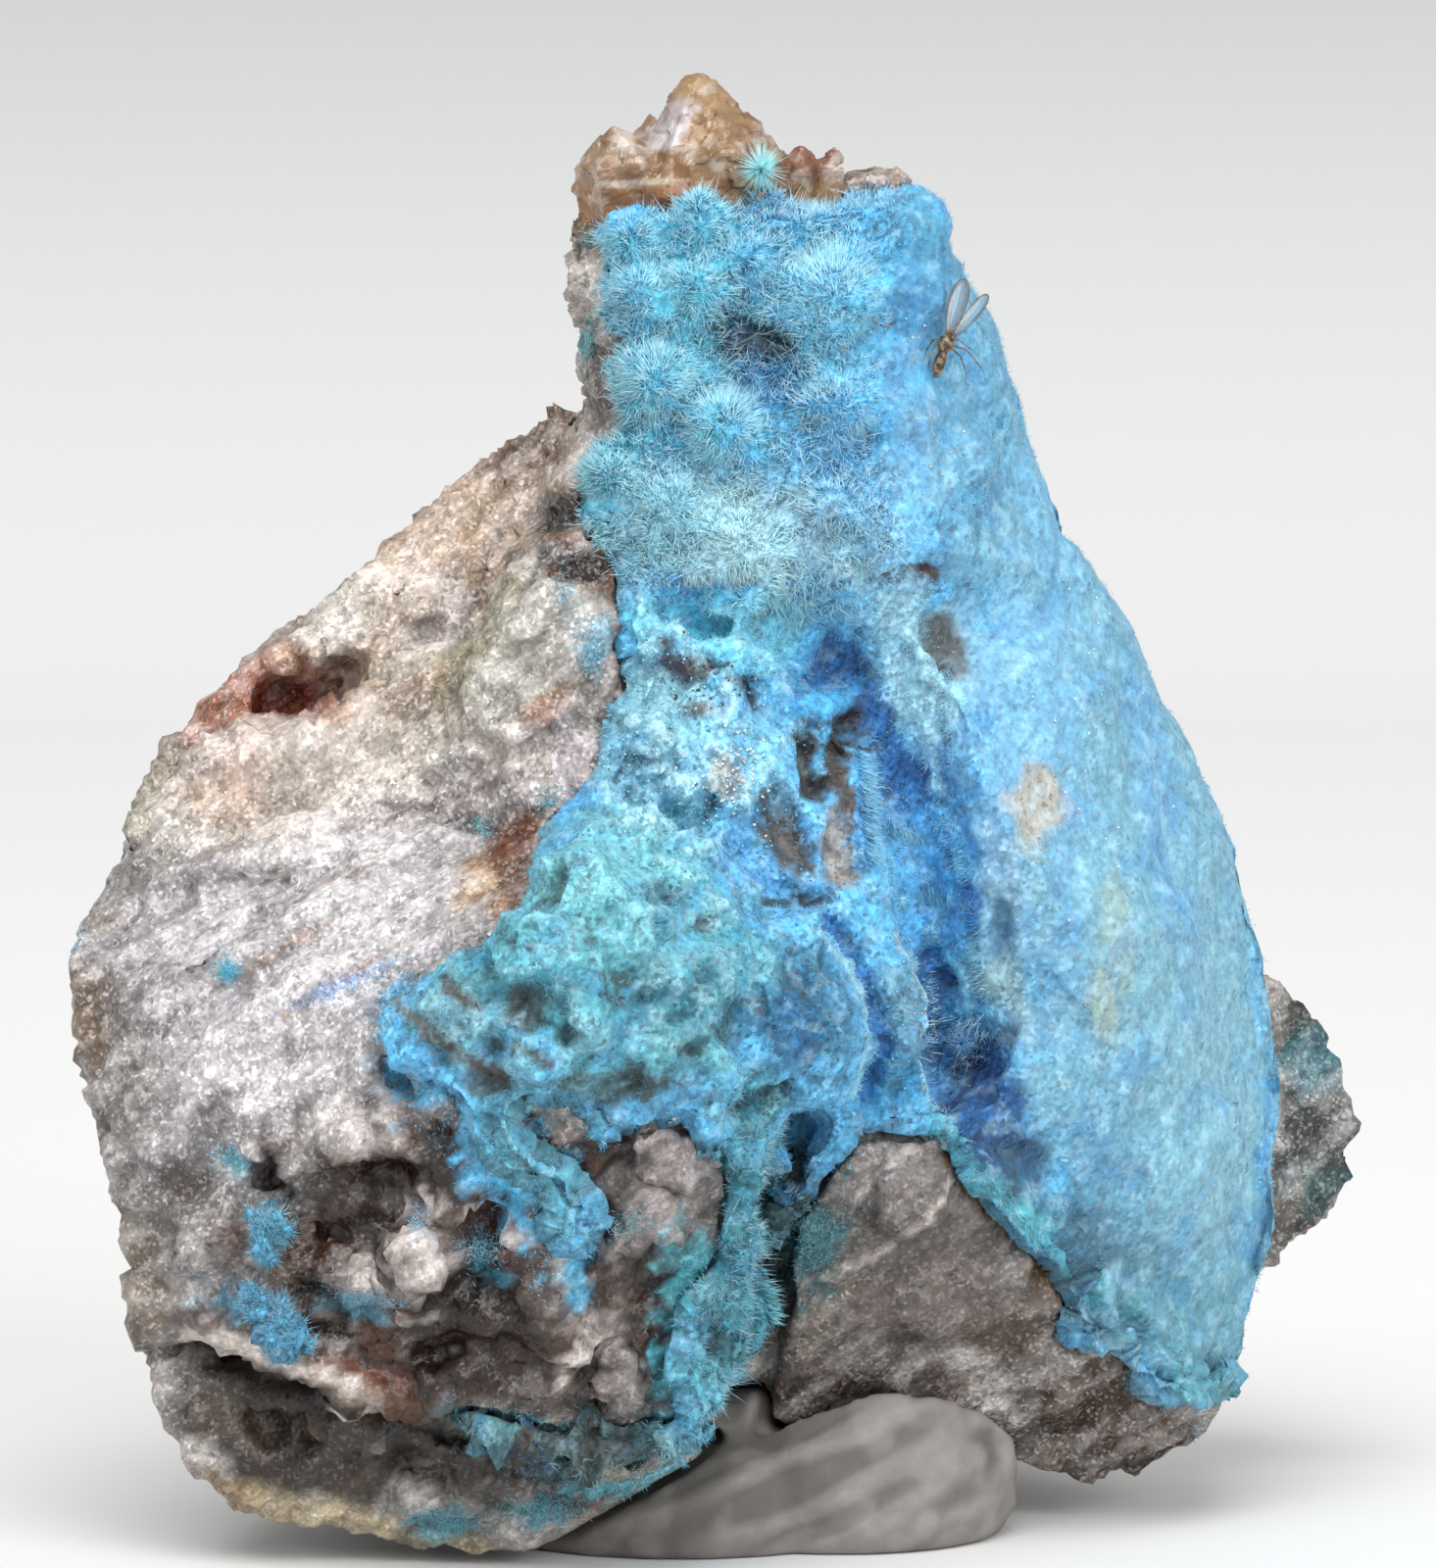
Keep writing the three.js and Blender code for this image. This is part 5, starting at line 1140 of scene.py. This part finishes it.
draw = np.random.default_rng(23)
middles = []
for x, z, radius, _ in BURSTS:
    hit = crust_cad.ray_cast(Vector((x, RAY_FROM_Y, z)) * MM, Vector((0, 1, 0)))[0]
    middles.append(np.array(hit) / MM + (0, radius, 0))
middles, (radii, shares) = np.array(middles), np.array(BURSTS).T[2:]
weight = radii ** 2 * shares
which = draw.choice(len(radii), BALL_TUFTS, p=weight / weight.sum())
fan = draw.normal(size=(BALL_TUFTS, 3))
fan[:, 1] = -np.abs(fan[:, 1]) + 0.35 * draw.random(BALL_TUFTS)
fan = np.repeat(unit(fan), NEEDLES_A_BALL_TUFT, axis=0)
which = np.repeat(which, NEEDLES_A_BALL_TUFT)
fan = leaned(fan, 0.13, draw)
inside = radii[which] * draw.uniform(0.45, 0.65, len(which))
lengths = radii[which] * (0.78 + 0.42 * draw.beta(1.1, 3.0, len(which))) - inside
roots = middles[which] + fan * inside[:, None]
plant("ball_needles", SPIKE, *velvet(roots, fan, fan, lengths, 0.08, draw), silk, "velvet_crust")
print(len(radii), "balls of needles")

# %% [markdown]
# Some needles stand out singly: a tuft above the top edge, small stars in the trough, combs along the
# edges of the windows, ridges and folds, and long stray hairs.

# %% Single tufts, combs and stray hairs
COMBS = [
    # from x, z, to x, z, the way they point in x and z, length in mm, needles
    (3.62, 20.9, 3.85, 18, 0.85, -0.35, 0.6, 560), (-0.9, 25.3, 1, 25.4, 0.1, -1, 0.45, 220),
    (5.45, 15.3, 5.55, 12.4, 0.8, 0.3, 0.3, 260), (1, 7.6, 1.7, 5, 1, -0.1, 0.6, 260),
    (1.6, 9.8, 2.6, 8.6, 0.5, 0.6, 0.5, 160), (-3.3, 24.2, -2.5, 22.6, -1, 0.1, 0.35, 200),
    (-3.2, 30.4, -2.6, 28.2, -1, -0.1, 0.6, 200), (1, 20.6, 2, 21.4, 0.1, -0.6, 0.25, 90),
    (5.1, 17.4, 6.3, 17, 0.2, -0.9, 0.5, 200), (4.4, 19, 5.4, 18.6, 0.3, -0.9, 0.45, 160),
    (5.1, 24.6, 5.9, 21.8, -0.7, -0.5, 0.4, 260), (6.2, 18.4, 6.8, 14.6, -0.8, -0.3, 0.4, 260),
    (-1.5, 2.9, 1.1, 4.2, 0.4, -0.8, 0.35, 200), (6, 11, 8.6, 7.9, 0.6, -0.6, 0.3, 300),
]
STARS = [
    # x, z, how far its middle stands out and up, radius in mm, needles
    (1.1, 34.4, 0.3, 1.28, 0.42, 520), (1.1, 34.4, 0.3, 1.28, 1, 210), (6.2, 13.4, 0, 0, 0.6, 360),
    (5.4, 16.2, 0, 0, 0.45, 160), (4.6, 17, 0, 0, 0.4, 160),
]
STRAY_HAIRS = 2400

draw = np.random.default_rng(29)
roots, ways, lengths = [], [], []
for x0, z0, x1, z1, way_x, way_z, length, count in COMBS:
    for t in draw.random(count):
        met = shoot(base_crust, x0 + t * (x1 - x0) + draw.normal() * 0.08,
                    z0 + t * (z1 - z0) + draw.normal() * 0.08)
        if met is not None:
            roots.append(met[0])
            ways.append(np.array((way_x, -0.55, way_z)) + draw.normal(size=3) * 0.25)
            lengths.append(length * draw.uniform(0.5, 1.15))
for x, z, out_mm, up_mm, radius, count in STARS:
    met = shoot(base_crust, x, z)
    for _ in range(count):
        way = draw.normal(size=3)
        way[1] = -abs(way[1])
        roots.append(met[0] + (0, -out_mm, up_mm))
        ways.append(way)
        lengths.append(radius * draw.uniform(0.6, 1.1))
place, out = scatter(base.data, density * step(0.3, 0.5, reach), STRAY_HAIRS, draw)
roots, ways = np.concatenate((roots, place)), np.concatenate((ways, leaned(out, 0.5, draw)))
lengths = np.concatenate((lengths, draw.uniform(0.5, 0.95, STRAY_HAIRS)))
roots, axes, deep, tips = velvet(roots, unit(ways), unit(ways), lengths, 0.05, draw)
in_combs = len(roots) - STRAY_HAIRS
tips[:in_combs] = (tips[:in_combs] + np.minimum(deep[:in_combs] * 1.8, 0.95)) / 2
tips = wash(tips, ("#f8fdfd", np.repeat((0.1, 0.7), (in_combs, STRAY_HAIRS))))
plant("stray_needles", SPIKE, roots, axes, deep, tips, silk, "velvet_crust")

# %% [markdown]
# Grains of quartz sand and dust cling between the needles, a little glossy and blotched with dirt.
# Each is a small icosphere, stretched and turned by chance.

# %% Grains of sand
SAND = [
    # x, z, half width, half height, grains, size in mm, colour
    (8.3, 19.2, 0.8, 1.1, 30, 0.07, "#b0a288"), (8.6, 15.6, 1.8, 3, 20, 0.07, "#a89478"),
    (8.5, 9, 2.6, 3.2, 24, 0.07, "#a08a70"), (5.4, 18.6, 0.9, 3, 7, 0.07, "#a8978a"),
    (1.8, 30.5, 2.6, 3.6, 24, 0.07, "#d9d6ce"), (4.6, 27, 1.6, 5, 18, 0.07, "#c4b8a4"),
    (0.3, 20.2, 0.8, 0.8, 90, 0.1, "#c9cdcc"), (9.6, 22, 2, 5, 36, 0.06, "#dfe9ec"),
    (5.4, 14.6, 0.7, 1.4, 14, 0.07, "#b89c80"), (-1.2, 21.6, 1.8, 2.6, 150, 0.07, "#9fd2e4"),
    (0.6, 20.6, 1.5, 2.2, 110, 0.07, "#7fbfe0"), (-0.6, 19, 2.6, 1.6, 90, 0.07, "#5aaed2"),
    (1.6, 17.6, 1.6, 1.4, 70, 0.07, "#4a96d0"), (0.4, 24, 2.4, 0.9, 90, 0.07, "#92cfe6"),
    (4.9, 14.4, 0.8, 1.8, 50, 0.07, "#84b4ce"), (1.9, 14.2, 1.6, 1.6, 50, 0.07, "#3a8ab4"),
    (2.4, 33.2, 2.4, 1.8, 80, 0.06, "#8fc8de"), (5, 26, 1.4, 2.6, 70, 0.06, "#94c2da"),
    (-0.4, 22.6, 1, 0.8, 50, 0.08, "#4a3626"), (2.4, 19.6, 1.2, 1.8, 40, 0.06, "#7c7a79"),
]

grain_form = bmesh.new()
bmesh.ops.create_icosphere(grain_form, subdivisions=1, radius=0.5)
GRAIN = shape_of(grain_form)
places, codes, sizes = [], [], []
for x, z, wide, tall, count, size, code in SAND:
    for dx, dz in draw.normal(size=(count, 2)) * 0.6:
        met = shoot(base_crust, x + dx * wide, z + dz * tall)
        if met is not None:
            places.append(met[0] + met[1] * 0.03)
            codes.append(linear(code)[:3])
            sizes.append(size)
axes = draw.normal(size=(len(places), 3, 3))
axes = np.linalg.qr(axes)[0] * draw.uniform(0.5, 1.3, (len(places), 3, 1)) * np.array(sizes)[:, None, None]
tone = np.array(codes) * draw.uniform(0.7, 1.25, (len(codes), 1))

grit, tree, place, tint = tinted_material("quartz_sand_grains")
dirt = add(tree, "TexNoise", {"Vector": place, "Scale": 16.0, "Detail": 3})
finish_material(tree, Base_Color=shaded(tree, tint, dirt, 0, 1, 0.6, 1.4), Roughness=0.35, IOR=1.54)
plant("sand_grains", GRAIN, np.array(places), axes, tone, tone, grit, "velvet_crust")

# %% [markdown]
# Low on the left two small patches of the same velvet grew apart from the crust. Each is a copy of
# its own solid, drawn in a little and planted with needles.

# %% Two small patches
PATCH_VOXEL = 0.09


def small_patch(node, code, needles, seed):
    """A small patch of velvet: its base and its needles."""
    draw = np.random.default_rng(seed)
    patch = fine_copy(node, node + "_base", PATCH_VOXEL, smooth=3)
    points, normals = surface_of(patch.data)
    frayed = rough_noise(points, 0.6, seed)
    set_points(patch.data, points + normals * (-0.22 + 0.4 * frayed)[:, None])
    set_tint(patch.data, plain(code, len(points)) * (0.85 + 0.4 * frayed)[:, None])
    patch.data.materials.append(felt)
    patch.data.shade_smooth()
    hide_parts(node)
    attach(patch, "root")
    place, out = scatter(patch.data, (normals[:, 1] < 0.2).astype(float), needles, draw)
    deep = plain(code, needles) * draw.uniform(0.6, 1.1, (needles, 1))
    axes = needle_axes(leaned(out, 0.6, draw), draw.uniform(0.12, 0.5, needles),
                       np.full(needles, NEEDLE_WIDTH))
    plant(node + "_needles", SPIKE, place - out * 0.04, axes, deep, wash(deep, ("#dff2fa", 0.3)), silk, node)


small_patch("low_left_patch", "#56a8cc", 2600, 31)
small_patch("small_left_patch", "#58a8c8", 1100, 32)

# %% [markdown]
# Where the photo shows a fleck or a stain of blue on the bare rock, loose tufts of short needles
# stand on it.

# %% Loose tufts on the rock
ROCK_TUFTS = [
    # x, z, half width, half height, lean, needles, colour
    (-12.5, 15.25, 0.3, 0.3, 0, 260, "#58c8ea"), (-16.6, 15.9, 0.4, 0.5, 0, 160, "#8fc6e0"),
    (-10.2, 14.6, 1, 0.2, 20, 200, "#8fb6e0"), (-9, 15, 1.2, 0.2, 30, 260, "#9fc0e4"),
    (-3.3, 31.3, 0.2, 0.5, 0, 260, "#3f9fae"), (-3.3, 33.9, 0.2, 0.3, 0, 120, "#4aa7b4"),
    (-12.5, 10.5, 0.5, 0.35, -20, 260, "#5fb4cc"), (-11.6, 6.6, 1.4, 0.3, -25, 300, "#54a8cc"),
    (-9, 6.9, 1, 0.2, -10, 360, "#4f9fc0"), (-6, 8.2, 0.6, 0.5, 0, 500, "#56a8c4"),
    (-7.6, 8.9, 0.3, 0.5, 0, 160, "#5ab0e0"), (-7.9, 14, 0.9, 1, 0, 1300, "#5ab8de"),
    (-6.7, 12.6, 1.2, 1.2, 0, 1500, "#5ab6e2"), (-3.6, 12, 1.2, 0.8, 0, 700, "#4ba3b4"),
    (-4.2, 8.6, 0.7, 1.2, 0, 500, "#56b0d4"), (-5.6, 10.6, 1, 1.6, 20, 900, "#5ab8e6"),
    (-6.9, 1.2, 1, 0.4, 0, 900, "#3f93a8"), (-4.5, 1.5, 0.9, 0.35, 0, 800, "#46a0b4"),
    (-5.4, 3.5, 1.2, 0.7, -20, 700, "#458f9f"), (-3.4, 3.4, 1, 0.6, 0, 500, "#4f9cac"),
    (-2.6, 2.2, 1.4, 0.5, 10, 600, "#529eae"), (-2.2, 8.8, 0.7, 0.4, 0, 300, "#5ca8b4"),
    (2.4, 10.6, 1.2, 0.7, 20, 1200, "#4a9fae"), (2.4, 8.4, 0.8, 1.2, 0, 1000, "#3f8f9c"),
    (-0.6, 7, 0.5, 1.6, -10, 500, "#55a8b8"), (14.9, 12.6, 0.6, 0.8, 0, 300, "#4a90a0"),
    (11.6, 4.6, 1.3, 0.4, -15, 500, "#5fa8b8"), (12.4, 3.4, 0.5, 0.5, 0, 240, "#58a4b4"),
    (-4.3, 19.6, 0.5, 0.4, 20, 200, "#62b0c4"), (-3.9, 24.9, 0.3, 0.5, 0, 160, "#4aa5c0"),
    (-6, 18.9, 0.4, 0.3, 0, 160, "#4aa5b0"), (-3.4, 23.6, 0.4, 0.8, 0, 300, "#5cb8de"),
]
rock_now = tree_of(rock.data)
draw = np.random.default_rng(41)
roots, outward, deep = [], [], []
for x, z, wide, tall, lean, count, code in ROCK_TUFTS:
    turn = Matrix.Rotation(math.radians(lean), 2)
    for step_out in draw.normal(size=(count, 2)) * 0.55 * (wide, tall):
        moved = turn @ Vector(step_out)
        met = shoot(rock_now, x + moved.x, z + moved.y)
        if met is not None:
            roots.append(met[0])
            outward.append(met[1])
            deep.append(linear(code)[:3])
roots, outward, deep = np.array(roots), np.array(outward), np.array(deep)
deep = np.minimum(deep * draw.uniform(0.9, 1.5, (len(roots), 1)), 0.95)
axes = needle_axes(leaned(outward, 0.7, draw), draw.uniform(0.06, 0.24, len(roots)),
                   np.full(len(roots), NEEDLE_WIDTH * 1.1))
plant("loose_tufts", SPIKE, roots - outward * 0.03, axes, deep, wash(deep, ("#e2f3fa", 0.25)), silk,
      "velvet_crust")

# %% [markdown]
# The crystals on top are quartz: clear inside, but full of flaws and stained tan by iron, so the
# light comes through them cloudy. The hexagonal solids are cut into fine voxels, chipped a little,
# and given a surface that lets part of the light pass at quartz's index of 1.54.

# %% Quartz crystals
QUARTZ_VOXEL = 0.085
QUARTZ_FACE_MM = 0.4
QUARTZ_TOP = 38.3
QUARTZ_PAINT = [
    # x, z, half width, half height, lean, colour, strength
    (-0.4, 37.3, 0.9, 1, 0, "#bd9b70", 0.85), (0.2, 36.5, 0.7, 0.9, 0, "#a3855f", 0.7),
    # The near-white spots at the upper left, at x -1.25, -1.3 and -2.4, are painted highlights.
    (-2.6, 36.2, 1, 1, 0, "#a2866c", 0.85), (-1.25, 36.75, 0.9, 0.42, 45, "#d6cdd2", 0.85),
    (-1.3, 36.5, 0.4, 0.2, 45, "#f2eef0", 0.8), (-2.4, 36.5, 0.35, 0.35, 0, "#e2d6cb", 0.75),
    (-1.6, 35.7, 1.4, 0.3, 10, "#a17c60", 0.6), (-3, 34.8, 1.1, 0.6, 0, "#a3764e", 0.8),
    (-1, 35.1, 1.6, 0.25, 8, "#9a5f3a", 0.65), (-1.9, 35.35, 1, 0.1, 4, "#ecdccc", 0.75),
    (1.1, 36.4, 0.6, 0.7, 0, "#ab8a70", 0.7), (2.6, 36, 1, 0.7, 0, "#8a5c4c", 0.95),
    (4.2, 35.3, 1.2, 0.5, 0, "#968982", 0.9),
]

quartz = fine_copy("quartz_crystals", "stained_quartz", QUARTZ_VOXEL, smooth=2)
points, normals = surface_of(quartz.data)
blocky = step(2.0, 1.4, points[:, 0])
crumbly = step(35.6, 36.6, points[:, 2]) * step(-1.3, -0.5, points[:, 0])
blunt = step(37.0, 38.0, points[:, 2])
knock = (0.16 * blunt + chips(points, 1.1, 51) * 0.13 * blocky
         + chips(points, 0.45, 52) * (0.03 + 0.08 * crumbly) + rough_noise(points, 0.6, 56) * 0.02
         + 0.1 * (1 - blocky))
moved = points + normals * (knock - 0.04)[:, None]
moved[:, 2] = np.minimum(moved[:, 2], QUARTZ_TOP + 0.25 * (moved[:, 2] - QUARTZ_TOP))
set_points(quartz.data, moved)
tints = plain("#9b7a57", len(points))
tints = paint_spots(tints, front_view(points), rough_noise(points, 0.5, 55), QUARTZ_PAINT)
set_tint(quartz.data, wash(
    tints,
    ("#e2d6ca", step(0.15, 0.6, rough_noise(points, 0.6, 53)) * 0.5),
    ("#7d4c2c", step(0.3, 0.7, rough_noise(points, 0.45, 54)) * 0.5)))

clear, tree, place, tint = tinted_material("iron_stained_quartz")
flaw = add(tree, "TexNoise", {"Vector": place, "Scale": 3.2, "Detail": 7, "Roughness": 0.7})
bump = add(tree, "Bump", {"Height": flaw, "Strength": 0.3, "Distance": 0.06 * MM})
face = add(tree, "TexVoronoi", {"Vector": place, "Scale": 1 / QUARTZ_FACE_MM}).outputs["Color"]
finish_material(tree, Base_Color=shaded(tree, tint, flaw, 0.34, 0.66, 0.8, 1.22),
                Normal=tilted(tree, bump, face, 0.5, 0.45), Roughness=0.12, IOR=1.544,
                Transmission_Weight=0.35)
quartz.data.materials.append(clear)
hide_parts("quartz_crystals")
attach(quartz, "root")
print("quartz:", len(quartz.data.polygons) * 2, "triangles")

# %% [markdown]
# Display putty is a soft grey-white compound, pressed up under the rock by hand. It is dull and
# smooth, with long soft folds that rise to the right where it was rolled.

# %% Putty
PUTTY_VOXEL = 0.15

putty = fine_copy("putty_rest", "display_putty", PUTTY_VOXEL, smooth=14)
points, normals = surface_of(putty.data)
turned = np.column_stack((points[:, 0] * 0.22 + points[:, 2] * 0.12, points[:, 1] * 0.6,
                          points[:, 2] - points[:, 0] * 0.42))
fold = ridge_noise(turned, 1.5, 61, 2)
dimple = rough_noise(points, 1.2, 62, 2)
standing = step(0.05, 0.9, points[:, 2])
moved = points + normals * ((0.26 * (fold - 0.4) + 0.06 * dimple) * standing)[:, None]
moved[:, 2] = np.maximum(moved[:, 2], 0)
set_points(putty.data, moved)
# The putty is painted darker in the creases between its folds and towards its left side, as painted shade.
set_tint(putty.data, wash(
    plain("#827d79", len(points)),
    ("#544e4a", step(0.6, 0.15, fold) * 0.7),
    ("#534e4a", step(1.5, -2.0, points[:, 0]) * 0.85),
    ("#a29d99", step(0.0, 0.5, dimple) * 0.25)))

dull, tree, place, tint = tinted_material("dull_display_putty")
smear = add(tree, "TexNoise", {"Vector": place, "Scale": 1.5, "Detail": 6, "Roughness": 0.6})
bump = add(tree, "Bump", {"Height": smear, "Strength": 0.3, "Distance": 0.2 * MM})
finish_material(tree, Base_Color=shaded(tree, tint, smear, 0.3, 0.7, 0.9, 1.12), Normal=bump, Roughness=0.75)
putty.data.materials.append(dull)
putty.data.shade_smooth()
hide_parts("putty_rest")
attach(putty, "root")
print("putty:", len(putty.data.polygons) * 2, "triangles")

# %% [markdown]
# The dried gnat is 2.7 mm from the tip of its wings to the end of its body. It is made of beads,
# which are icospheres stretched and ringed, and of limbs, which are thin cones. They are shaped in
# millimetres around the gnat's middle and then moved there.

# %% Gnat: beads and limbs
GNAT_MIDDLE = Vector((5.42, -6.0, 31.5))


def bead_form(form, middle, size, lean, rings=0):
    """A stretched icosphere, pulled in at its rings, turned in the plane of the front view."""
    made = bmesh.ops.create_icosphere(form, subdivisions=3, radius=1.0)["verts"]
    for v in made:
        v.co *= 1 - 0.07 * (rings > 0) * (0.5 + 0.5 * math.cos(v.co.z * rings * 2 * math.pi))
    turn = Matrix.Rotation(lean, 4, "Y")
    scale = Matrix.Diagonal((*size, 1))
    bmesh.ops.transform(form, verts=made, matrix=Matrix.Translation(middle) @ turn @ scale)


def limb(form, start, end, thick, thin):
    """A thin cone from one point to another."""
    start, end = Vector(start), Vector(end)
    turn = (end - start).to_track_quat("Z", "Y").to_matrix().to_4x4()
    bmesh.ops.create_cone(form, cap_ends=True, cap_tris=True, segments=6, radius1=thick, radius2=thin,
                          depth=(end - start).length, matrix=Matrix.Translation((start + end) / 2) @ turn)


def small_piece(name, form, material):
    """Makes a piece, in mm around the gnat's middle, from a bmesh."""
    bmesh.ops.transform(form, verts=form.verts, matrix=Matrix.Scale(MM, 4) @ Matrix.Translation(GNAT_MIDDLE))
    bmesh.ops.recalc_face_normals(form, faces=form.faces)
    mesh = bpy.data.meshes.new(name)
    form.to_mesh(mesh)
    form.free()
    mesh.shade_smooth()
    mesh.materials.append(material)
    piece = new_object(name, mesh)
    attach(piece, "root")
    return piece


print("the gnat's middle in mm", [round(v, 2) for v in GNAT_MIDDLE])

# %% [markdown]
# An insect's shell dries to brown chitin, blotched and a little glossy. The body is a round thorax, a
# head and a long ringed hind part, and each of the five legs that show has two bends.

# %% Gnat: body and legs
chitin, tree, place = new_material("dry_insect_shell")
patch = add(tree, "TexNoise", {"Vector": place, "Scale": 7.0, "Detail": 4})
ramp = add(tree, "ValToRGB", {"Fac": patch})
for stop, position, code in zip(ramp.color_ramp.elements, (0.4, 0.6), ("#2e2418", "#8a7656")):
    stop.position, stop.color = position, linear(code)
finish_material(tree, Base_Color=ramp, Roughness=0.35, IOR=1.55)

body_form = bmesh.new()
bead_form(body_form, (0.02, -0.02, 0.02), (0.21, 0.19, 0.25), 0.3)
bead_form(body_form, (0.13, -0.04, 0.29), (0.14, 0.14, 0.13), 0)
bead_form(body_form, (-0.14, 0.02, -0.47), (0.16, 0.15, 0.43), 0.3, rings=6)
LEGS = [
    ((0.1, -0.05, 0), (0.52, -0.28, -0.12), (0.86, -0.1, -0.52), (1, 0.1, -0.75)),
    ((0.1, -0.05, -0.05), (0.38, -0.2, -0.3), (0.52, 0.05, -0.66), (0.55, 0.15, -0.86)),
    ((-0.1, -0.05, 0), (-0.32, -0.25, 0.12), (-0.48, 0.02, -0.16), (-0.52, 0.1, -0.3)),
    ((-0.08, -0.05, -0.1), (-0.36, -0.2, -0.22), (-0.42, 0.05, -0.5), (-0.4, 0.1, -0.62)),
    ((0.05, -0.1, 0.1), (0.3, -0.34, 0.14), (0.62, -0.1, -0.1), (0.72, 0.05, -0.16)),
]
for leg in LEGS:
    for k in range(3):
        limb(body_form, leg[k], leg[k + 1], 0.028 - 0.007 * k, 0.022 - 0.006 * k)
gnat_body = small_piece("gnat_body", body_form, chitin)
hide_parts("dried_gnat")
print("gnat's body and legs:", len(gnat_body.data.polygons), "faces")

# %% [markdown]
# Each wing is a flat film with veins, so thin that it lets nearly all the light through. Its outline
# is a circle, drawn out long and narrower at its base.

# %% Gnat: wings
FILM_THICKNESS = 0.012


def wing_taper(along):
    """How wide a wing is, from its base at 0 to its tip at 1."""
    return 0.35 + 0.65 * along ** 0.7


def wing(name, base, lean, length, width, tip_out):
    """One wing: a thin film and its veins, leaning out of the upright by an angle."""
    place_wing = Matrix.Translation(base) @ Matrix.Rotation(lean, 4, "Y") @ Matrix.Rotation(tip_out, 4, "X")
    film = bmesh.new()
    rim = bmesh.ops.create_circle(film, cap_ends=True, segments=28, radius=0.5)["verts"]
    for v in rim:
        along_wing = v.co.x + 0.5
        v.co = Vector((v.co.y * width * wing_taper(along_wing), 0, along_wing * length))
    moved = bmesh.ops.extrude_face_region(film, geom=film.faces[:])["geom"]
    back = [v for v in moved if isinstance(v, bmesh.types.BMVert)]
    bmesh.ops.translate(film, verts=back, vec=(0, FILM_THICKNESS, 0))
    bmesh.ops.transform(film, verts=film.verts, matrix=place_wing)
    small_piece(name, film, membrane)
    veins = bmesh.new()
    outline = []
    for t in np.linspace(0, 2 * math.pi, 25):
        along_wing = 0.5 - 0.5 * math.cos(t)
        outline.append((0.5 * width * math.sin(t) * wing_taper(along_wing), 0, length * along_wing))
    for start, end in zip(outline, outline[1:]):
        limb(veins, start, end, 0.006, 0.006)
    for sway in (-0.22, 0.02, 0.24):
        limb(veins, (0, 0, 0), (sway * width, 0, length * 0.55), 0.007, 0.005)
        limb(veins, (sway * width, 0, length * 0.55), (sway * width * 1.5, 0, length * 0.93), 0.005, 0.003)
    bmesh.ops.transform(veins, verts=veins.verts, matrix=place_wing)
    small_piece(name + "_veins", veins, chitin)


membrane, tree, place = new_material("clear_wing_membrane")
dust = add(tree, "TexNoise", {"Vector": place, "Scale": 9.0, "Detail": 3})
shade = add(tree, "Mix", {0: dust, COLOUR_A: linear("#cfd8dc"), COLOUR_B: linear("#eef3f5")},
            data_type="RGBA")
finish_material(tree, Base_Color=shade.outputs[COLOUR_OUT], Roughness=0.15, IOR=1.3,
                Transmission_Weight=0.85)
wing("left_wing", (0.06, -0.12, 0.12), 0.26, 1.62, 0.62, 0.1)
wing("right_wing", (0.16, -0.12, 0.1), 0.66, 1.5, 0.42, 0.1)
print("two wings made")

# %% [markdown]
# A short dark hair lies in a curve over the tips of the needles beside the gnat.

# %% Dark hair
HAIR_OUT = 0.75
HAIR_PATH = ((3.92, 31.92), (4.04, 31.76), (4.24, 31.7), (4.44, 31.78))
hair = bmesh.new()
path = [Vector(shoot(base_crust, x, z)[0] + (0, -HAIR_OUT, 0)) - GNAT_MIDDLE for x, z in HAIR_PATH]
for start, end in zip(path, path[1:]):
    limb(hair, start, end, 0.024, 0.02)
small_piece("dark_hair", hair, chitin)
print("dark hair:", len(HAIR_PATH), "points")

# %% [markdown]
# Last, the box of the finished model is measured and printed.

# %% Measure and finish
low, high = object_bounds()
print("visual box in mm", [round(v / MM, 2) for v in (*low, *high)])
